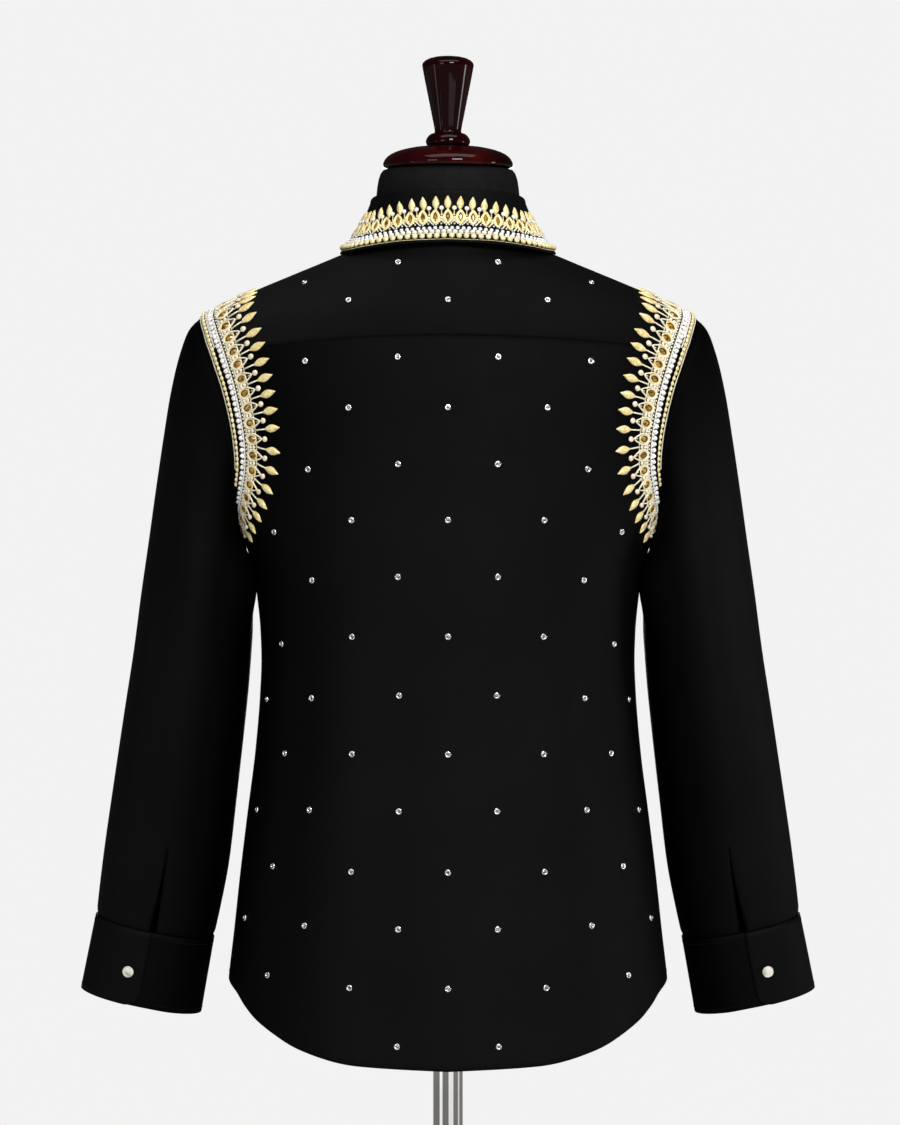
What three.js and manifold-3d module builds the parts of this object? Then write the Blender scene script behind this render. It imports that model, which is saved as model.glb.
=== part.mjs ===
// An embellished long-sleeved shirt worn by a limbless dress form on a round-footed stand.
// Units are millimetres. +Z is up, the floor is z = 0, the wearer faces -Y and the wearer's left is +X.
// The cloth is cut as back, yoke, two fronts with a placket band, collar stand, collar fall, two sleeves
// and two cuffs. Beaded borders lie on the collar fall and round both armholes.
import * as THREE from "three";
import Module from "manifold-3d";
import { mergeVertices } from "three/addons/utils/BufferGeometryUtils.js";

const wasm = await Module();
wasm.setup();

// ---- driving dimensions -------------------------------------------------------------------------

const CLOTH = 1.2; // shirting, as a wall
const STIFFENED = 1.8; // interlined collar and cuffs
const SEAM_GAP = 0.3;
const UNDERARM_Z = 1083.5;
const SHOULDER_Z = 1298.5; // top of the armhole
const ARMHOLE_HALF_DEPTH = 60;
const YOKE_BACK_Z = 1278; // yoke seam at the centre back
const YOKE_BACK_DIP = 17; // how much lower that seam would be at the side
const YOKE_FRONT_ANGLE = -26; // section angle of the front yoke seam
const PLACKET_HALF = 17.5;
const HEM_SIDE_Z = 684.3;
const BACK_TAIL = 76.7; // how far each tail hangs below the side of the hem
const FRONT_TAIL = 62;
const FORM_BOTTOM_Z = 715;
const CUFF_EDGE_ANGLE = 88; // where the cuff's upper lap ends, round the sleeve from its outer line
const CUFF_LAP_ANGLE = 28;

// The shirt's level sections are two half ellipses that share one width. Between the underarm and
// the shoulder the armhole cuts their ends away.
const BODY_SECTIONS = [
  // z, half width, back depth, front depth
  [595, 212, 133, 132],
  [684.3, 204.8, 130, 129],
  [726, 200, 128, 127],
  [782, 194, 125.5, 124.5],
  [838, 187.2, 123.5, 122.5],
  [895, 180, 121, 121],
  [950, 175.5, 119.3, 120.5],
  [979, 174.4, 119, 121],
  [1007, 175.3, 120.5, 123],
  [1035, 178, 123, 126],
  [1060, 181.5, 124.6, 128],
  [1083.5, 188, 125.6, 130],
  [1100, 195.3, 126, 131],
  [1125, 206.3, 125.8, 132],
  [1153, 218, 124.8, 131.8],
  [1194, 231, 121, 129],
  [1232, 239.6, 115, 123],
  [1254, 242, 111, 119],
  [1270, 241.5, 106.8, 115],
  [1285, 238, 102, 110],
  [1298.5, 231.4, 97, 104.5],
  [1305, 222, 94, 101],
  [1314, 203, 89.5, 95.5],
  [1325, 178, 84, 88.5],
  [1340, 142, 77, 78],
  [1353, 110.5, 72, 71],
  [1362, 90, 69, 69],
  [1371, 77, 67.5, 68.3],
  [1382, 73, 66.6, 67.6],
  [1400, 72, 66, 67.5],
].map(([z, half, back, front]) => ({ z, half, back, front }));

const HEM_CURVE = [
  // angle from the centre of the tail, share of the tail's drop
  [0, 1],
  [23.4, 0.947],
  [39.4, 0.79],
  [50.1, 0.632],
  [58.6, 0.474],
  [65.3, 0.316],
  [72.6, 0.158],
  [90, 0],
].map(([angle, share]) => ({ angle, share }));

// Soft folds that hang in the body: section angle, half width in degrees, height out of the cloth,
// and the levels between which they show.
const BODY_FOLDS = [
  [38, 9, -3.4, 1090, 640],
  [56, 10, 2.6, 1120, 620],
  [74, 8, -1.6, 1000, 600],
  [106, 8, -1.6, 1010, 600],
  [125, 10, 2.4, 1110, 620],
  [143, 9, -3.2, 1100, 640],
  [215, 9, -2.8, 1080, 640],
  [236, 10, 2.2, 1100, 620],
  [304, 10, 2.4, 1090, 620],
  [326, 9, -3, 1070, 640],
].map(([angle, width, height, top, bottom]) => ({ angle, width, height, top, bottom }));

// The neck: section angle (-90 is the centre front), the collar seam and the collar's fold line.
const NECK = [
  [-100, 1345, 1379],
  [-90, 1345, 1379],
  [-60, 1352, 1388],
  [-30, 1363, 1399],
  [0, 1370, 1406],
  [45, 1374.5, 1410],
  [90, 1376, 1411.5],
].map(([angle, seam, fold]) => ({ angle, seam, fold }));
const FOLD_HALF_WIDTH = 69.6;
const FOLD_BACK = 65;
const FOLD_FRONT = 68;

// The collar fall's free edge, for one side: section angle, then the point.
const COLLAR_EDGE = [
  [-86, 38, -95, 1318],
  [-73, 55, -88, 1326],
  [-60, 72, -77, 1335],
  [-30, 95, -45, 1356.5],
  [0, 102.5, 0, 1360.6],
  [25, 95, 35, 1360.5],
  [45, 75, 58, 1361.5],
  [68, 38, 74, 1364],
  [90, 0, 78.5, 1365],
].map(([angle, x, y, z]) => ({ angle, x, y, z }));

// The sleeve, as tilted rings: outer line, inner line, half depth, depth of the ring's centre and the
// forward lean of the arm. The first ring is the armhole.
const SLEEVE_RINGS = [
  // outer x, outer z, inner x, inner z, half depth, centre y, lean in degrees
  [231.7, 1298.4, 188.3, 1083.2, 62, 0, 0],
  [242, 1287.5, 188.8, 1079, 63, 0, 0],
  [251, 1264, 187.8, 1071, 63.5, -0.5, 0],
  [259.5, 1227.5, 185.8, 1060, 63.5, -1, 0],
  [266.2, 1186, 184, 1046, 63, -2, 0],
  [273, 1140, 182.8, 1030, 62, -3, 1],
  [280, 1090, 182.6, 1010, 60, -4, 2],
  [287.3, 1040, 184, 985, 57, -6, 3],
  [294, 990, 186.6, 953, 54, -9, 4],
  [303.2, 932, 191.2, 910, 50.5, -14, 5],
  [313.6, 865, 198.3, 849, 46, -21, 7],
  [322.8, 804, 205.8, 788, 41.5, -28, 9],
  [328, 765, 214.3, 745, 38, -34, 10],
  [331.2, 738, 220.8, 716.5, 35.5, -38.5, 10],
].map(([outerX, outerZ, innerX, innerZ, depth, y, lean]) => (
  { outerX, outerZ, innerX, innerZ, depth, y, lean }));
const CUFF_RINGS = [
  [332, 737.7, 220.2, 716.1, 36.3, -38.5, 10],
  [339.3, 704, 226.6, 681.5, 36, -44.4, 10],
  [346.5, 669.8, 232.8, 646.8, 35.5, -50.4, 10],
].map(([outerX, outerZ, innerX, innerZ, depth, y, lean]) => (
  { outerX, outerZ, innerX, innerZ, depth, y, lean }));

// Soft folds along the sleeve: angle from the outer line, half width, height, and the rings they span.
const SLEEVE_FOLDS = [
  [52, 12, -2.2, 3, 9],
  [118, 13, -2.4, 4, 12],
  [84, 11, 1.6, 5, 11],
  [-60, 13, -2.2, 3, 10],
  [-112, 13, -2, 5, 12],
  [147, 18, 13, 2.1, 6.1], // the fullness that lies against the body below the underarm
].map(([angle, width, height, first, last]) => ({ angle, width, height, first, last }));

// ---- small mathematics --------------------------------------------------------------------------

const radians = THREE.MathUtils.degToRad;
const degrees = THREE.MathUtils.radToDeg;
const lerp = THREE.MathUtils.lerp;
const clamp = THREE.MathUtils.clamp;
const mod = THREE.MathUtils.euclideanModulo;
const vec = (x, y, z) => new THREE.Vector3(x, y, z);
const range = (n) => [...Array(n).keys()];

function smoothstep(from, to, x) {
  const t = clamp((x - from) / (to - from), 0, 1);
  return t * t * (3 - 2 * t);
}

// A smooth curve through a table's rows that never overshoots them.
function curve(table, key, value) {
  const x = table.map((row) => row[key]);
  const y = table.map((row) => row[value]);
  const last = x.length - 1;
  const steep = range(last).map((i) => (y[i + 1] - y[i]) / (x[i + 1] - x[i]));
  const slope = range(last + 1).map((i) => {
    if (i === 0) return steep[0];
    if (i === last) return steep[last - 1];
    if (steep[i - 1] * steep[i] <= 0) return 0;
    const a = 2 * (x[i + 1] - x[i]) + (x[i] - x[i - 1]);
    const b = x[i + 1] - x[i] + 2 * (x[i] - x[i - 1]);
    return (a + b) / (a / steep[i - 1] + b / steep[i]);
  });
  return (at) => {
    let i = 0;
    while (i < last - 1 && at > x[i + 1]) i += 1;
    const width = x[i + 1] - x[i];
    const t = clamp((at - x[i]) / width, 0, 1);
    const t2 = t * t;
    const t3 = t2 * t;
    return (2 * t3 - 3 * t2 + 1) * y[i] + (t3 - 2 * t2 + t) * width * slope[i]
      + (-2 * t3 + 3 * t2) * y[i + 1] + (t3 - t2) * width * slope[i + 1];
  };
}

// The value at which a rising or falling function reaches a target.
function solve(f, target, low, high) {
  const rising = f(high) > f(low);
  for (let i = 0; i < 50; i += 1) {
    const mid = (low + high) / 2;
    if ((f(mid) < target) === rising) low = mid;
    else high = mid;
  }
  return (low + high) / 2;
}

// ---- closed solids from grids of points ---------------------------------------------------------

function meshGeometry(points, triangles) {
  const geometry = new THREE.BufferGeometry();
  const flat = points.flatMap((p) => [p.x, p.y, p.z]);
  geometry.setAttribute("position", new THREE.Float32BufferAttribute(flat, 3));
  geometry.setIndex(triangles.flat());
  return geometry;
}

// A wall between two equal grids of points. Rows run along the wall's edge; a round wall joins its
// last column to its first. Seen from outside, columns run to the right when rows run up.
function wall(outer, inner, round = false) {
  const rows = outer.length;
  const columns = outer[0].length;
  const count = rows * columns;
  const points = [...outer.flat(), ...inner.flat()];
  const triangles = [];
  const quad = (a, b, c, d) => triangles.push([a, b, c], [a, c, d]);
  const at = (r, c) => r * columns + (c % columns);
  const steps = round ? columns : columns - 1;
  for (let r = 0; r < rows - 1; r += 1) {
    for (let c = 0; c < steps; c += 1) {
      quad(at(r, c), at(r, c + 1), at(r + 1, c + 1), at(r + 1, c));
      quad(count + at(r, c), count + at(r + 1, c), count + at(r + 1, c + 1), count + at(r, c + 1));
    }
  }
  for (let c = 0; c < steps; c += 1) {
    quad(count + at(0, c), count + at(0, c + 1), at(0, c + 1), at(0, c));
    quad(at(rows - 1, c), at(rows - 1, c + 1), count + at(rows - 1, c + 1), count + at(rows - 1, c));
  }
  if (!round) {
    for (let r = 0; r < rows - 1; r += 1) {
      const e = columns - 1;
      quad(at(r, 0), at(r + 1, 0), count + at(r + 1, 0), count + at(r, 0));
      quad(at(r + 1, e), at(r, e), count + at(r, e), count + at(r + 1, e));
    }
  }
  return meshGeometry(points, triangles);
}

// A solid of stacked rings, closed flat at both ends.
function stack(rings) {
  const columns = rings[0].length;
  const points = rings.flat();
  const triangles = [];
  for (let r = 0; r < rings.length - 1; r += 1) {
    for (let c = 0; c < columns; c += 1) {
      const a = r * columns + c;
      const b = r * columns + ((c + 1) % columns);
      triangles.push([a, b, b + columns], [a, b + columns, a + columns]);
    }
  }
  const top = (rings.length - 1) * columns;
  for (let c = 1; c < columns - 1; c += 1) {
    triangles.push([0, c + 1, c], [top, top + c, top + c + 1]);
  }
  return meshGeometry(points, triangles);
}

const mirrorPoint = (p) => vec(-p.x, p.y, p.z);
const mirrorGrid = (grid) => grid.map((row) => row.map(mirrorPoint).reverse());

function solidOf(geometry) {
  const plain = geometry.clone();
  plain.deleteAttribute("normal");
  plain.deleteAttribute("uv");
  const merged = mergeVertices(plain, 1e-3);
  return new wasm.Manifold(new wasm.Mesh({
    numProp: 3,
    vertProperties: merged.attributes.position.array,
    triVerts: new Uint32Array(merged.index.array),
  }));
}

function geometryOf(solid) {
  const mesh = solid.getMesh();
  const geometry = new THREE.BufferGeometry();
  geometry.setAttribute("position", new THREE.BufferAttribute(new Float32Array(mesh.vertProperties), 3));
  geometry.setIndex(new THREE.BufferAttribute(new Uint32Array(mesh.triVerts), 1));
  return geometry;
}

// ---- the shirt's body surface -------------------------------------------------------------------

const halfWidth = curve(BODY_SECTIONS, "z", "half");
const backDepth = curve(BODY_SECTIONS, "z", "back");
const frontDepth = curve(BODY_SECTIONS, "z", "front");
const hemShare = curve(HEM_CURVE, "angle", "share");
const seamZ = curve(NECK, "angle", "seam");
const foldZ = curve(NECK, "angle", "fold");
const ARMHOLE_MID_Z = (UNDERARM_Z + SHOULDER_Z) / 2;
const ARMHOLE_HALF_HEIGHT = (SHOULDER_Z - UNDERARM_Z) / 2;

// Half the armhole's opening, front to back, at a level.
function armholeDepth(z) {
  const u = clamp((z - ARMHOLE_MID_Z) / ARMHOLE_HALF_HEIGHT, -1, 1);
  return ARMHOLE_HALF_DEPTH * (1 - u ** 2) ** (u < 0 ? 0.8 : 0.5);
}

// The section angle at which the armhole lies, 0 outside its levels.
function armholeAngle(z) {
  if (z <= UNDERARM_Z || z >= SHOULDER_Z) return 0;
  return degrees(Math.asin(armholeDepth(z) / backDepth(z)));
}

// Angles run from the wearer's left side (0) over the centre back (90) to the right side (180).
function foldHeight(angle, z) {
  const turned = mod(angle, 360);
  return BODY_FOLDS.reduce((sum, fold) => {
    const across = (turned - fold.angle) / fold.width;
    const along = smoothstep(fold.top, fold.top - 180, z) * smoothstep(fold.bottom - 260, fold.bottom, z);
    return sum + fold.height * Math.exp(-across * across) * along;
  }, 0);
}

function plainBody(angle, z) {
  const a = radians(angle);
  const depth = Math.sin(a) >= 0 ? backDepth(z) : frontDepth(z);
  return vec(halfWidth(z) * Math.cos(a), depth * Math.sin(a), z);
}

function outward(surface, u, v, du, dv) {
  const across = surface(u + du, v).sub(surface(u - du, v));
  const along = surface(u, v + dv).sub(surface(u, v - dv));
  return across.cross(along).normalize();
}

const bodyNormal = (angle, z) => outward(plainBody, angle, z, 0.5, 0.5);

// The outer face of the shirt's body, or a face `out` millimetres beyond it.
function body(angle, z, out = 0) {
  const push = foldHeight(angle, z) + out;
  return plainBody(angle, z).addScaledVector(bodyNormal(angle, z), push);
}

function hemZ(angle) {
  const side = Math.abs(degrees(Math.asin(clamp(Math.sin(radians(angle)), -1, 1))));
  const tail = Math.sin(radians(angle)) > 0 ? BACK_TAIL : FRONT_TAIL;
  return HEM_SIDE_Z - tail * hemShare(90 - side);
}

// The right half's angles repeat the left half's.
const leftAngle = (angle) => {
  const turned = mod(angle + 90, 360) - 90;
  return turned > 90 ? 180 - turned : turned;
};
const neckSeamZ = (angle) => seamZ(leftAngle(angle));
const collarFoldZ = (angle) => foldZ(leftAngle(angle));

const yokeBackZ = (angle) => YOKE_BACK_Z - YOKE_BACK_DIP * Math.cos(radians(angle)) ** 2;
const armholeTopZ = (angle) => solve(armholeAngle, Math.abs(angle), ARMHOLE_MID_Z + 1, SHOULDER_Z);
const YOKE_CORNER = solve((angle) => armholeTopZ(angle) - yokeBackZ(angle), 0, 5, 35);
const FRONT_CORNER_Z = armholeTopZ(YOKE_FRONT_ANGLE);
const YOKE_COLUMNS = [YOKE_FRONT_ANGLE, -19, -13.4, -6, 0, 6, 13.4, 19, YOKE_CORNER, 35, 46, 57, 68, 79];

// ---- body panels --------------------------------------------------------------------------------

// Sleeves, panels and the yoke share these places round the armhole, so their facets meet.
const SEAM_ANGLES = [0, 22, 44, 66, 88.5, 112, 136, 160];
const armholeZ = (angle) => ARMHOLE_MID_Z + ARMHOLE_HALF_HEIGHT * Math.cos(radians(angle));
const PANEL_LEVELS = SEAM_ANGLES.slice(3).reverse().map(armholeZ);
const UPPER_SHARES = [0, 0.25, 0.5, 0.75, 1];

const gapAngle = (z, gap) => degrees(gap / backDepth(z));
const levels = (from, to, count) => range(count + 1).map((i) => lerp(from, to, i / count));

function panel(rows) {
  const outer = rows.map((row) => row.map(([angle, z, out = 0]) => body(angle, z, out)));
  const inner = rows.map((row) => row.map(([angle, z, out = 0]) => body(angle, z, out - CLOTH)));
  return [outer, inner];
}

function backPanel() {
  const columns = levels(0, 1, 16);
  const shares = levels(0, 1, 8);
  const start = (z) => Math.max(armholeAngle(z), gapAngle(z, SEAM_GAP / 2));
  const angleAt = (z, share) => lerp(start(z), 180 - start(z), share);
  const lower = shares.map((t) => columns.map((share) => {
    const angle = angleAt(UNDERARM_Z, share);
    return [angle, lerp(hemZ(angle), UNDERARM_Z, t)];
  }));
  const cornerZ = yokeBackZ(YOKE_CORNER) - SEAM_GAP / 2;
  const middle = PANEL_LEVELS.map((z) => columns.map((share) => [angleAt(z, share), z]));
  const top = columns.map((share) => {
    const angle = angleAt(cornerZ, share);
    return [angle, yokeBackZ(angle) - SEAM_GAP / 2];
  });
  return wall(...panel([...lower, ...middle, top]));
}

function yoke() {
  const left = [...YOKE_COLUMNS];
  left[0] += gapAngle(SHOULDER_Z, SEAM_GAP / 2);
  const angles = [...left, 90, ...left.map((angle) => 180 - angle).reverse()];
  const rows = UPPER_SHARES.map((t) => angles.map((angle) => {
    const side = leftAngle(angle);
    const low = side < YOKE_CORNER ? armholeTopZ(side) : yokeBackZ(side) + SEAM_GAP / 2;
    return [angle, lerp(low, neckSeamZ(angle), t)];
  }));
  return wall(...panel(rows));
}

// The left front laps over the right: its edge column lies PLACKET_HALF beyond the centre.
const centreAngle = (z, x) => -90 + degrees(Math.asin(x / halfWidth(z)));

function frontRows(columns, lapOut) {
  const angleAt = (z, share, start) => {
    if (share > 1) return centreAngle(z, -PLACKET_HALF);
    return lerp(start, centreAngle(z, PLACKET_HALF), share);
  };
  const cell = (angle, z, share) => [angle, z, share >= 1 ? lapOut : 0];
  const side = (z) => -Math.max(armholeAngle(z), gapAngle(z, SEAM_GAP / 2));
  const lower = levels(0, 1, 8).map((t) => columns.map((share) => {
    const angle = angleAt(UNDERARM_Z, share, side(UNDERARM_Z));
    const z = lerp(hemZ(angle), UNDERARM_Z, t);
    return cell(angleAt(z, share, -gapAngle(z, SEAM_GAP / 2)), z, share);
  }));
  const middle = [...PANEL_LEVELS, FRONT_CORNER_Z].map((z) => (
    columns.map((share) => cell(angleAt(z, share, side(z)), z, share))));
  const edge = YOKE_FRONT_ANGLE - gapAngle(SHOULDER_Z, SEAM_GAP / 2);
  const top = UPPER_SHARES.slice(1).map((t) => columns.map((share) => {
    const flat = angleAt(FRONT_CORNER_Z, share, edge);
    const z = lerp(FRONT_CORNER_Z, neckSeamZ(flat), t);
    return cell(angleAt(z, share, edge), z, share);
  }));
  const corner = middle.pop();
  middle.push(corner.map(([angle, z, out], i) => (columns[i] === 0 ? [edge, z, out] : [angle, z, out])));
  return [...lower, ...middle, ...top];
}

const FRONT_COLUMNS = [...levels(0, 1, 7), 2];
const RIGHT_LAP = -(CLOTH + 1.2); // the right front passes under the left

// Angles fall towards the centre front, so each row is turned round to run to the right.
const asGrid = (rows) => panel(rows).map((grid) => grid.map((row) => [...row].reverse()));

function frontPanel(side) {
  const rows = frontRows(FRONT_COLUMNS, side === "left" ? 0 : RIGHT_LAP);
  const grids = asGrid(rows);
  return wall(...(side === "left" ? grids : grids.map(mirrorGrid)));
}

function placketBand() {
  const rows = frontRows([1, 2], 0);
  rows.push(rows.pop().map(([angle, z]) => [angle, z - 1.6]));
  const at = (out) => rows.map((row) => row.map(([angle, z]) => body(angle, z, out)).reverse());
  const inset = (grid) => grid.map(([a, b]) => [a.clone().lerp(b, 0.015), b.clone().lerp(a, 0.015)]);
  return wall(inset(at(SEAM_GAP + 1)), inset(at(SEAM_GAP)));
}

// ---- collar -------------------------------------------------------------------------------------

function foldPoint(angle, out, z) {
  const a = radians(angle);
  const depth = Math.sin(a) >= 0 ? FOLD_BACK : FOLD_FRONT;
  return vec((FOLD_HALF_WIDTH + out) * Math.cos(a), (depth + out) * Math.sin(a), z);
}

const STAND_LAP = 12; // degrees by which the stand's ends pass the centre front

function collarStand() {
  const angles = levels(-90 - STAND_LAP, 270 + STAND_LAP, 28);
  const under = (angle) => -(STIFFENED + 0.9) * smoothstep(246, 258, angle);
  const at = (out) => [0, 1].map((t) => angles.map((angle) => {
    const low = body(angle, neckSeamZ(angle), 0);
    const plan = vec(low.x, low.y, 0).normalize();
    low.z += SEAM_GAP + 0.2;
    const high = foldPoint(angle, 0, collarFoldZ(angle) - 0.6);
    return low.lerp(high, t).addScaledVector(plan, out + under(angle));
  }));
  return wall(at(0), at(-STIFFENED));
}

const collarEdge = Object.fromEntries(
  ["x", "y", "z"].map((axis) => [axis, curve(COLLAR_EDGE, "angle", axis)]));

function fallEdge(angle) {
  const side = leftAngle(angle);
  const point = vec(collarEdge.x(side), collarEdge.y(side), collarEdge.z(side));
  return Math.cos(radians(angle)) < 0 ? mirrorPoint(point) : point;
}

const FALL_END = -86;
const ROLL = 2.6; // how far the fall stands off the stand as it rolls over

// The fall's outer face: share 0 is the top of the roll, 1 the free edge.
function fall(angle, share) {
  const top = foldPoint(angle, 0.4, collarFoldZ(angle) + 2.4);
  const shoulder = foldPoint(angle, ROLL + 0.6, collarFoldZ(angle) - 1.2);
  const edge = fallEdge(angle);
  const ROLL_SHARE = 0.07;
  if (share <= ROLL_SHARE) {
    const t = share / ROLL_SHARE;
    const point = top.lerp(shoulder, t);
    point.z += 1.6 * t * (1 - t);
    return point;
  }
  const t = (share - ROLL_SHARE) / (1 - ROLL_SHARE);
  const sag = 3.2 * Math.sin(Math.PI * t); // the fall is a little hollow between fold and edge
  const point = shoulder.lerp(edge, t);
  const inwards = vec(point.x, point.y, 0).normalize();
  return point.addScaledVector(inwards, -sag);
}

// Shares rise downwards and angles rise to the left, so the cross product already points out.
const fallNormal = (angle, share) => outward(fall, angle, share, 0.5, 0.004).negate();

function fallAt(angle, share, out) {
  return fall(angle, share).addScaledVector(fallNormal(angle, Math.max(share, 0.075)), out);
}

function collarFall() {
  const angles = levels(FALL_END, 180 - FALL_END, 30);
  const shares = [1, 0.8, 0.55, 0.3, 0.075];
  const outer = shares.map((share) => angles.map((angle) => fallAt(angle, share, 0)));
  const inner = shares.map((share) => angles.map((angle) => fallAt(angle, share, -STIFFENED)));
  const roll = angles.map((angle) => foldPoint(angle, 1, collarFoldZ(angle) + 3.6));
  const rollIn = angles.map((angle) => foldPoint(angle, -0.6, collarFoldZ(angle) + 1.6));
  return wall([...outer, roll], [...inner, rollIn]);
}

// ---- sleeves and cuffs --------------------------------------------------------------------------

const sleeveRows = SLEEVE_RINGS.map((row, ring) => ({ ring, ...row }));
const cuffRows = CUFF_RINGS.map((row, ring) => ({ ring, ...row }));
const RING_KEYS = ["outerX", "outerZ", "innerX", "innerZ", "depth", "y", "lean"];
const ringCurves = (rows) => Object.fromEntries(
  RING_KEYS.map((key) => [key, curve(rows, "ring", key)]));
const sleeveCurves = ringCurves(sleeveRows);
const cuffCurves = ringCurves(cuffRows);
const LAST_RING = sleeveRows.length - 1;

// A point of a tilted ring. Angle 0 is the outer line, 90 the back.
function ringPoint(curves, angle, ring) {
  const get = (key) => curves[key](ring);
  const a = radians(angle);
  const outer = vec(get("outerX"), get("y"), get("outerZ"));
  const inner = vec(get("innerX"), get("y"), get("innerZ"));
  const lean = radians(get("lean"));
  const depthAxis = vec(0, Math.cos(lean), -Math.sin(lean)).multiplyScalar(get("depth"));
  return outer.lerp(inner, (1 - Math.cos(a)) / 2).addScaledVector(depthAxis, Math.sin(a));
}

// The armhole seam on the body, by the same angle.
function armholePoint(angle) {
  const a = radians(angle);
  const z = clamp(armholeZ(angle), UNDERARM_Z + 0.001, SHOULDER_Z - 0.001);
  return body(Math.sign(Math.sin(a)) * armholeAngle(z), z, 0);
}

const HEAD_RINGS = 6; // over how many rings the armhole's shape fades into a plain ellipse

function sleeveFold(angle, ring) {
  return SLEEVE_FOLDS.reduce((sum, fold) => {
    const turned = mod(angle - fold.angle + 180, 360) - 180;
    const along = smoothstep(fold.first - 1, fold.first + 2, ring)
      * (1 - smoothstep(fold.last - 2, fold.last + 1, ring));
    return sum + fold.height * Math.exp(-((turned / fold.width) ** 2)) * along;
  }, 0);
}

// Below the slit's top the part behind it lies a step lower than the part in front of it.
const SLIT_TOP_RING = 10.2;
const SLIT_STEP = 2.4;
function slitStep(angle, ring) {
  const past = mod(angle - CUFF_EDGE_ANGLE, 360);
  const open = smoothstep(SLIT_TOP_RING, LAST_RING, ring);
  return -SLIT_STEP * open * (1 - smoothstep(8, 70, past)) * smoothstep(0, 2.5, past);
}

function plainSleeve(angle, ring) {
  const fade = 1 - smoothstep(0, HEAD_RINGS, ring);
  const point = ringPoint(sleeveCurves, angle, ring);
  const seam = armholePoint(angle).sub(ringPoint(sleeveCurves, angle, 0));
  return point.addScaledVector(seam, fade);
}

function sleeve(angle, ring, out = 0) {
  const normal = outward(plainSleeve, angle, ring, 1, 0.05).negate();
  const push = sleeveFold(angle, ring) + slitStep(angle, ring) + out;
  const point = plainSleeve(angle, ring).addScaledVector(normal, push);
  // The seam's end stands a gap away from the body's panels.
  const away = plainSleeve(angle, ring + 0.05).sub(plainSleeve(angle, ring)).normalize();
  return point.addScaledVector(away, 2 * SEAM_GAP * (1 - smoothstep(0, 0.5, ring)));
}

const SLEEVE_ANGLES = [0, 22, 44, 66, 86.5, 90.5, 112, 136, 160, 180, 200, 224, 248, 271.5, 294, 316, 338];
const SLEEVE_LEVELS = {
  top: [0, 0.6, 1.3, 2.2, 3.3, 4.6],
  middle: [4.618, 6, 7.5, 9],
  lower: [9.006, 10.2, 11.2, 12.1, LAST_RING],
};

// The sleeve is one piece of cloth, held here as three lengths so that its hollow stays open.
function sleeveWall(side, length) {
  // Rows run from the cuff up, and angles turn towards the back, which is to the right from outside.
  const rings = [...SLEEVE_LEVELS[length]].reverse();
  const at = (out) => rings.map((ring) => SLEEVE_ANGLES.map((angle) => sleeve(-angle, ring, out)));
  const grids = [at(0), at(-CLOTH)].map((grid) => grid.map((row) => [...row].reverse()));
  return wall(...(side === "left" ? grids : grids.map(mirrorGrid)), true);
}

const plainCuff = (angle, ring) => ringPoint(cuffCurves, angle, ring);
const CUFF_ROUNDING = 13;

function cuff(angle, ring, out) {
  const lapped = smoothstep(-CUFF_EDGE_ANGLE - 150, -CUFF_EDGE_ANGLE - 178, angle);
  const normal = outward(plainCuff, angle, ring, 1, 0.05).negate();
  return plainCuff(angle, ring).addScaledVector(normal, out - (STIFFENED + 0.9) * lapped);
}

// The cuff is one strip whose upper lap ends at CUFF_EDGE_ANGLE in a rounded corner.
function cuffWall(side) {
  const end = CUFF_EDGE_ANGLE;
  const start = CUFF_EDGE_ANGLE - 360 - CUFF_LAP_ANGLE;
  const angles = [start, ...levels(start + 18, end - 12, 20), end - 7, end - 3, end];
  const cornerLift = (angle) => {
    const arc = (end - angle) * radians(1) * 52; // millimetres back from the lap's edge
    const t = clamp(1 - arc / CUFF_ROUNDING, 0, 1);
    return (CUFF_ROUNDING * (1 - Math.sqrt(1 - t * t))) / 70;
  };
  const at = (out) => [2, 1, 0].map((ring) => angles.map((angle) => {
    const lift = ring === 2 ? 2 * cornerLift(angle) : 0;
    return cuff(angle, ring - Math.min(lift, 0.36), out);
  }));
  const grids = [at(0), at(-STIFFENED)];
  return wall(...(side === "left" ? grids : grids.map(mirrorGrid)));
}

// ---- beaded borders -----------------------------------------------------------------------------

// A border is laid over a surface given by (along, across) in millimetres, moved out from it.
const BORDER_LIFT = 1.4;
const BORDER_SECTION = [
  // millimetres from the border's edge, height above the cloth
  [1.8, BORDER_LIFT],
  [13, BORDER_LIFT + 0.7],
  [25.5, BORDER_LIFT],
  [25.5, 1.6],
  [19, 2.4],
  [12, 2.6],
  [5.5, 2.3],
  [1.8, 1.8],
].map(([across, height]) => ({ across, height }));
const LEAF_OUTLINE = [
  // share of the half width, share of the length
  [0.3, 0],
  [1, 0.6],
  [0, 1],
  [-1, 0.6],
  [-0.3, 0],
].map(([aside, along]) => ({ aside, along }));
const LEAF_LIFT = 1;
const LEAF_EDGE_HEIGHT = 1.6;
const LEAF_RIDGE_HEIGHT = 2.6;

function leaf(place, centre, root, length, halfWidth) {
  const ring = (height) => LEAF_OUTLINE.map((row) => (
    place(centre + row.aside * halfWidth, root + row.along * length, height)));
  const count = LEAF_OUTLINE.length;
  const points = [...ring(LEAF_LIFT), ...ring(LEAF_EDGE_HEIGHT), place(centre, root + 0.55 * length, LEAF_RIDGE_HEIGHT)];
  const triangles = [[0, 2, 1], [0, 3, 2], [0, 4, 3]];
  for (let i = 0; i < count; i += 1) {
    const next = (i + 1) % count;
    triangles.push([i, next, count + next], [i, count + next, count + i], [count + i, count + next, 2 * count]);
  }
  return meshGeometry(points, triangles);
}

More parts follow.
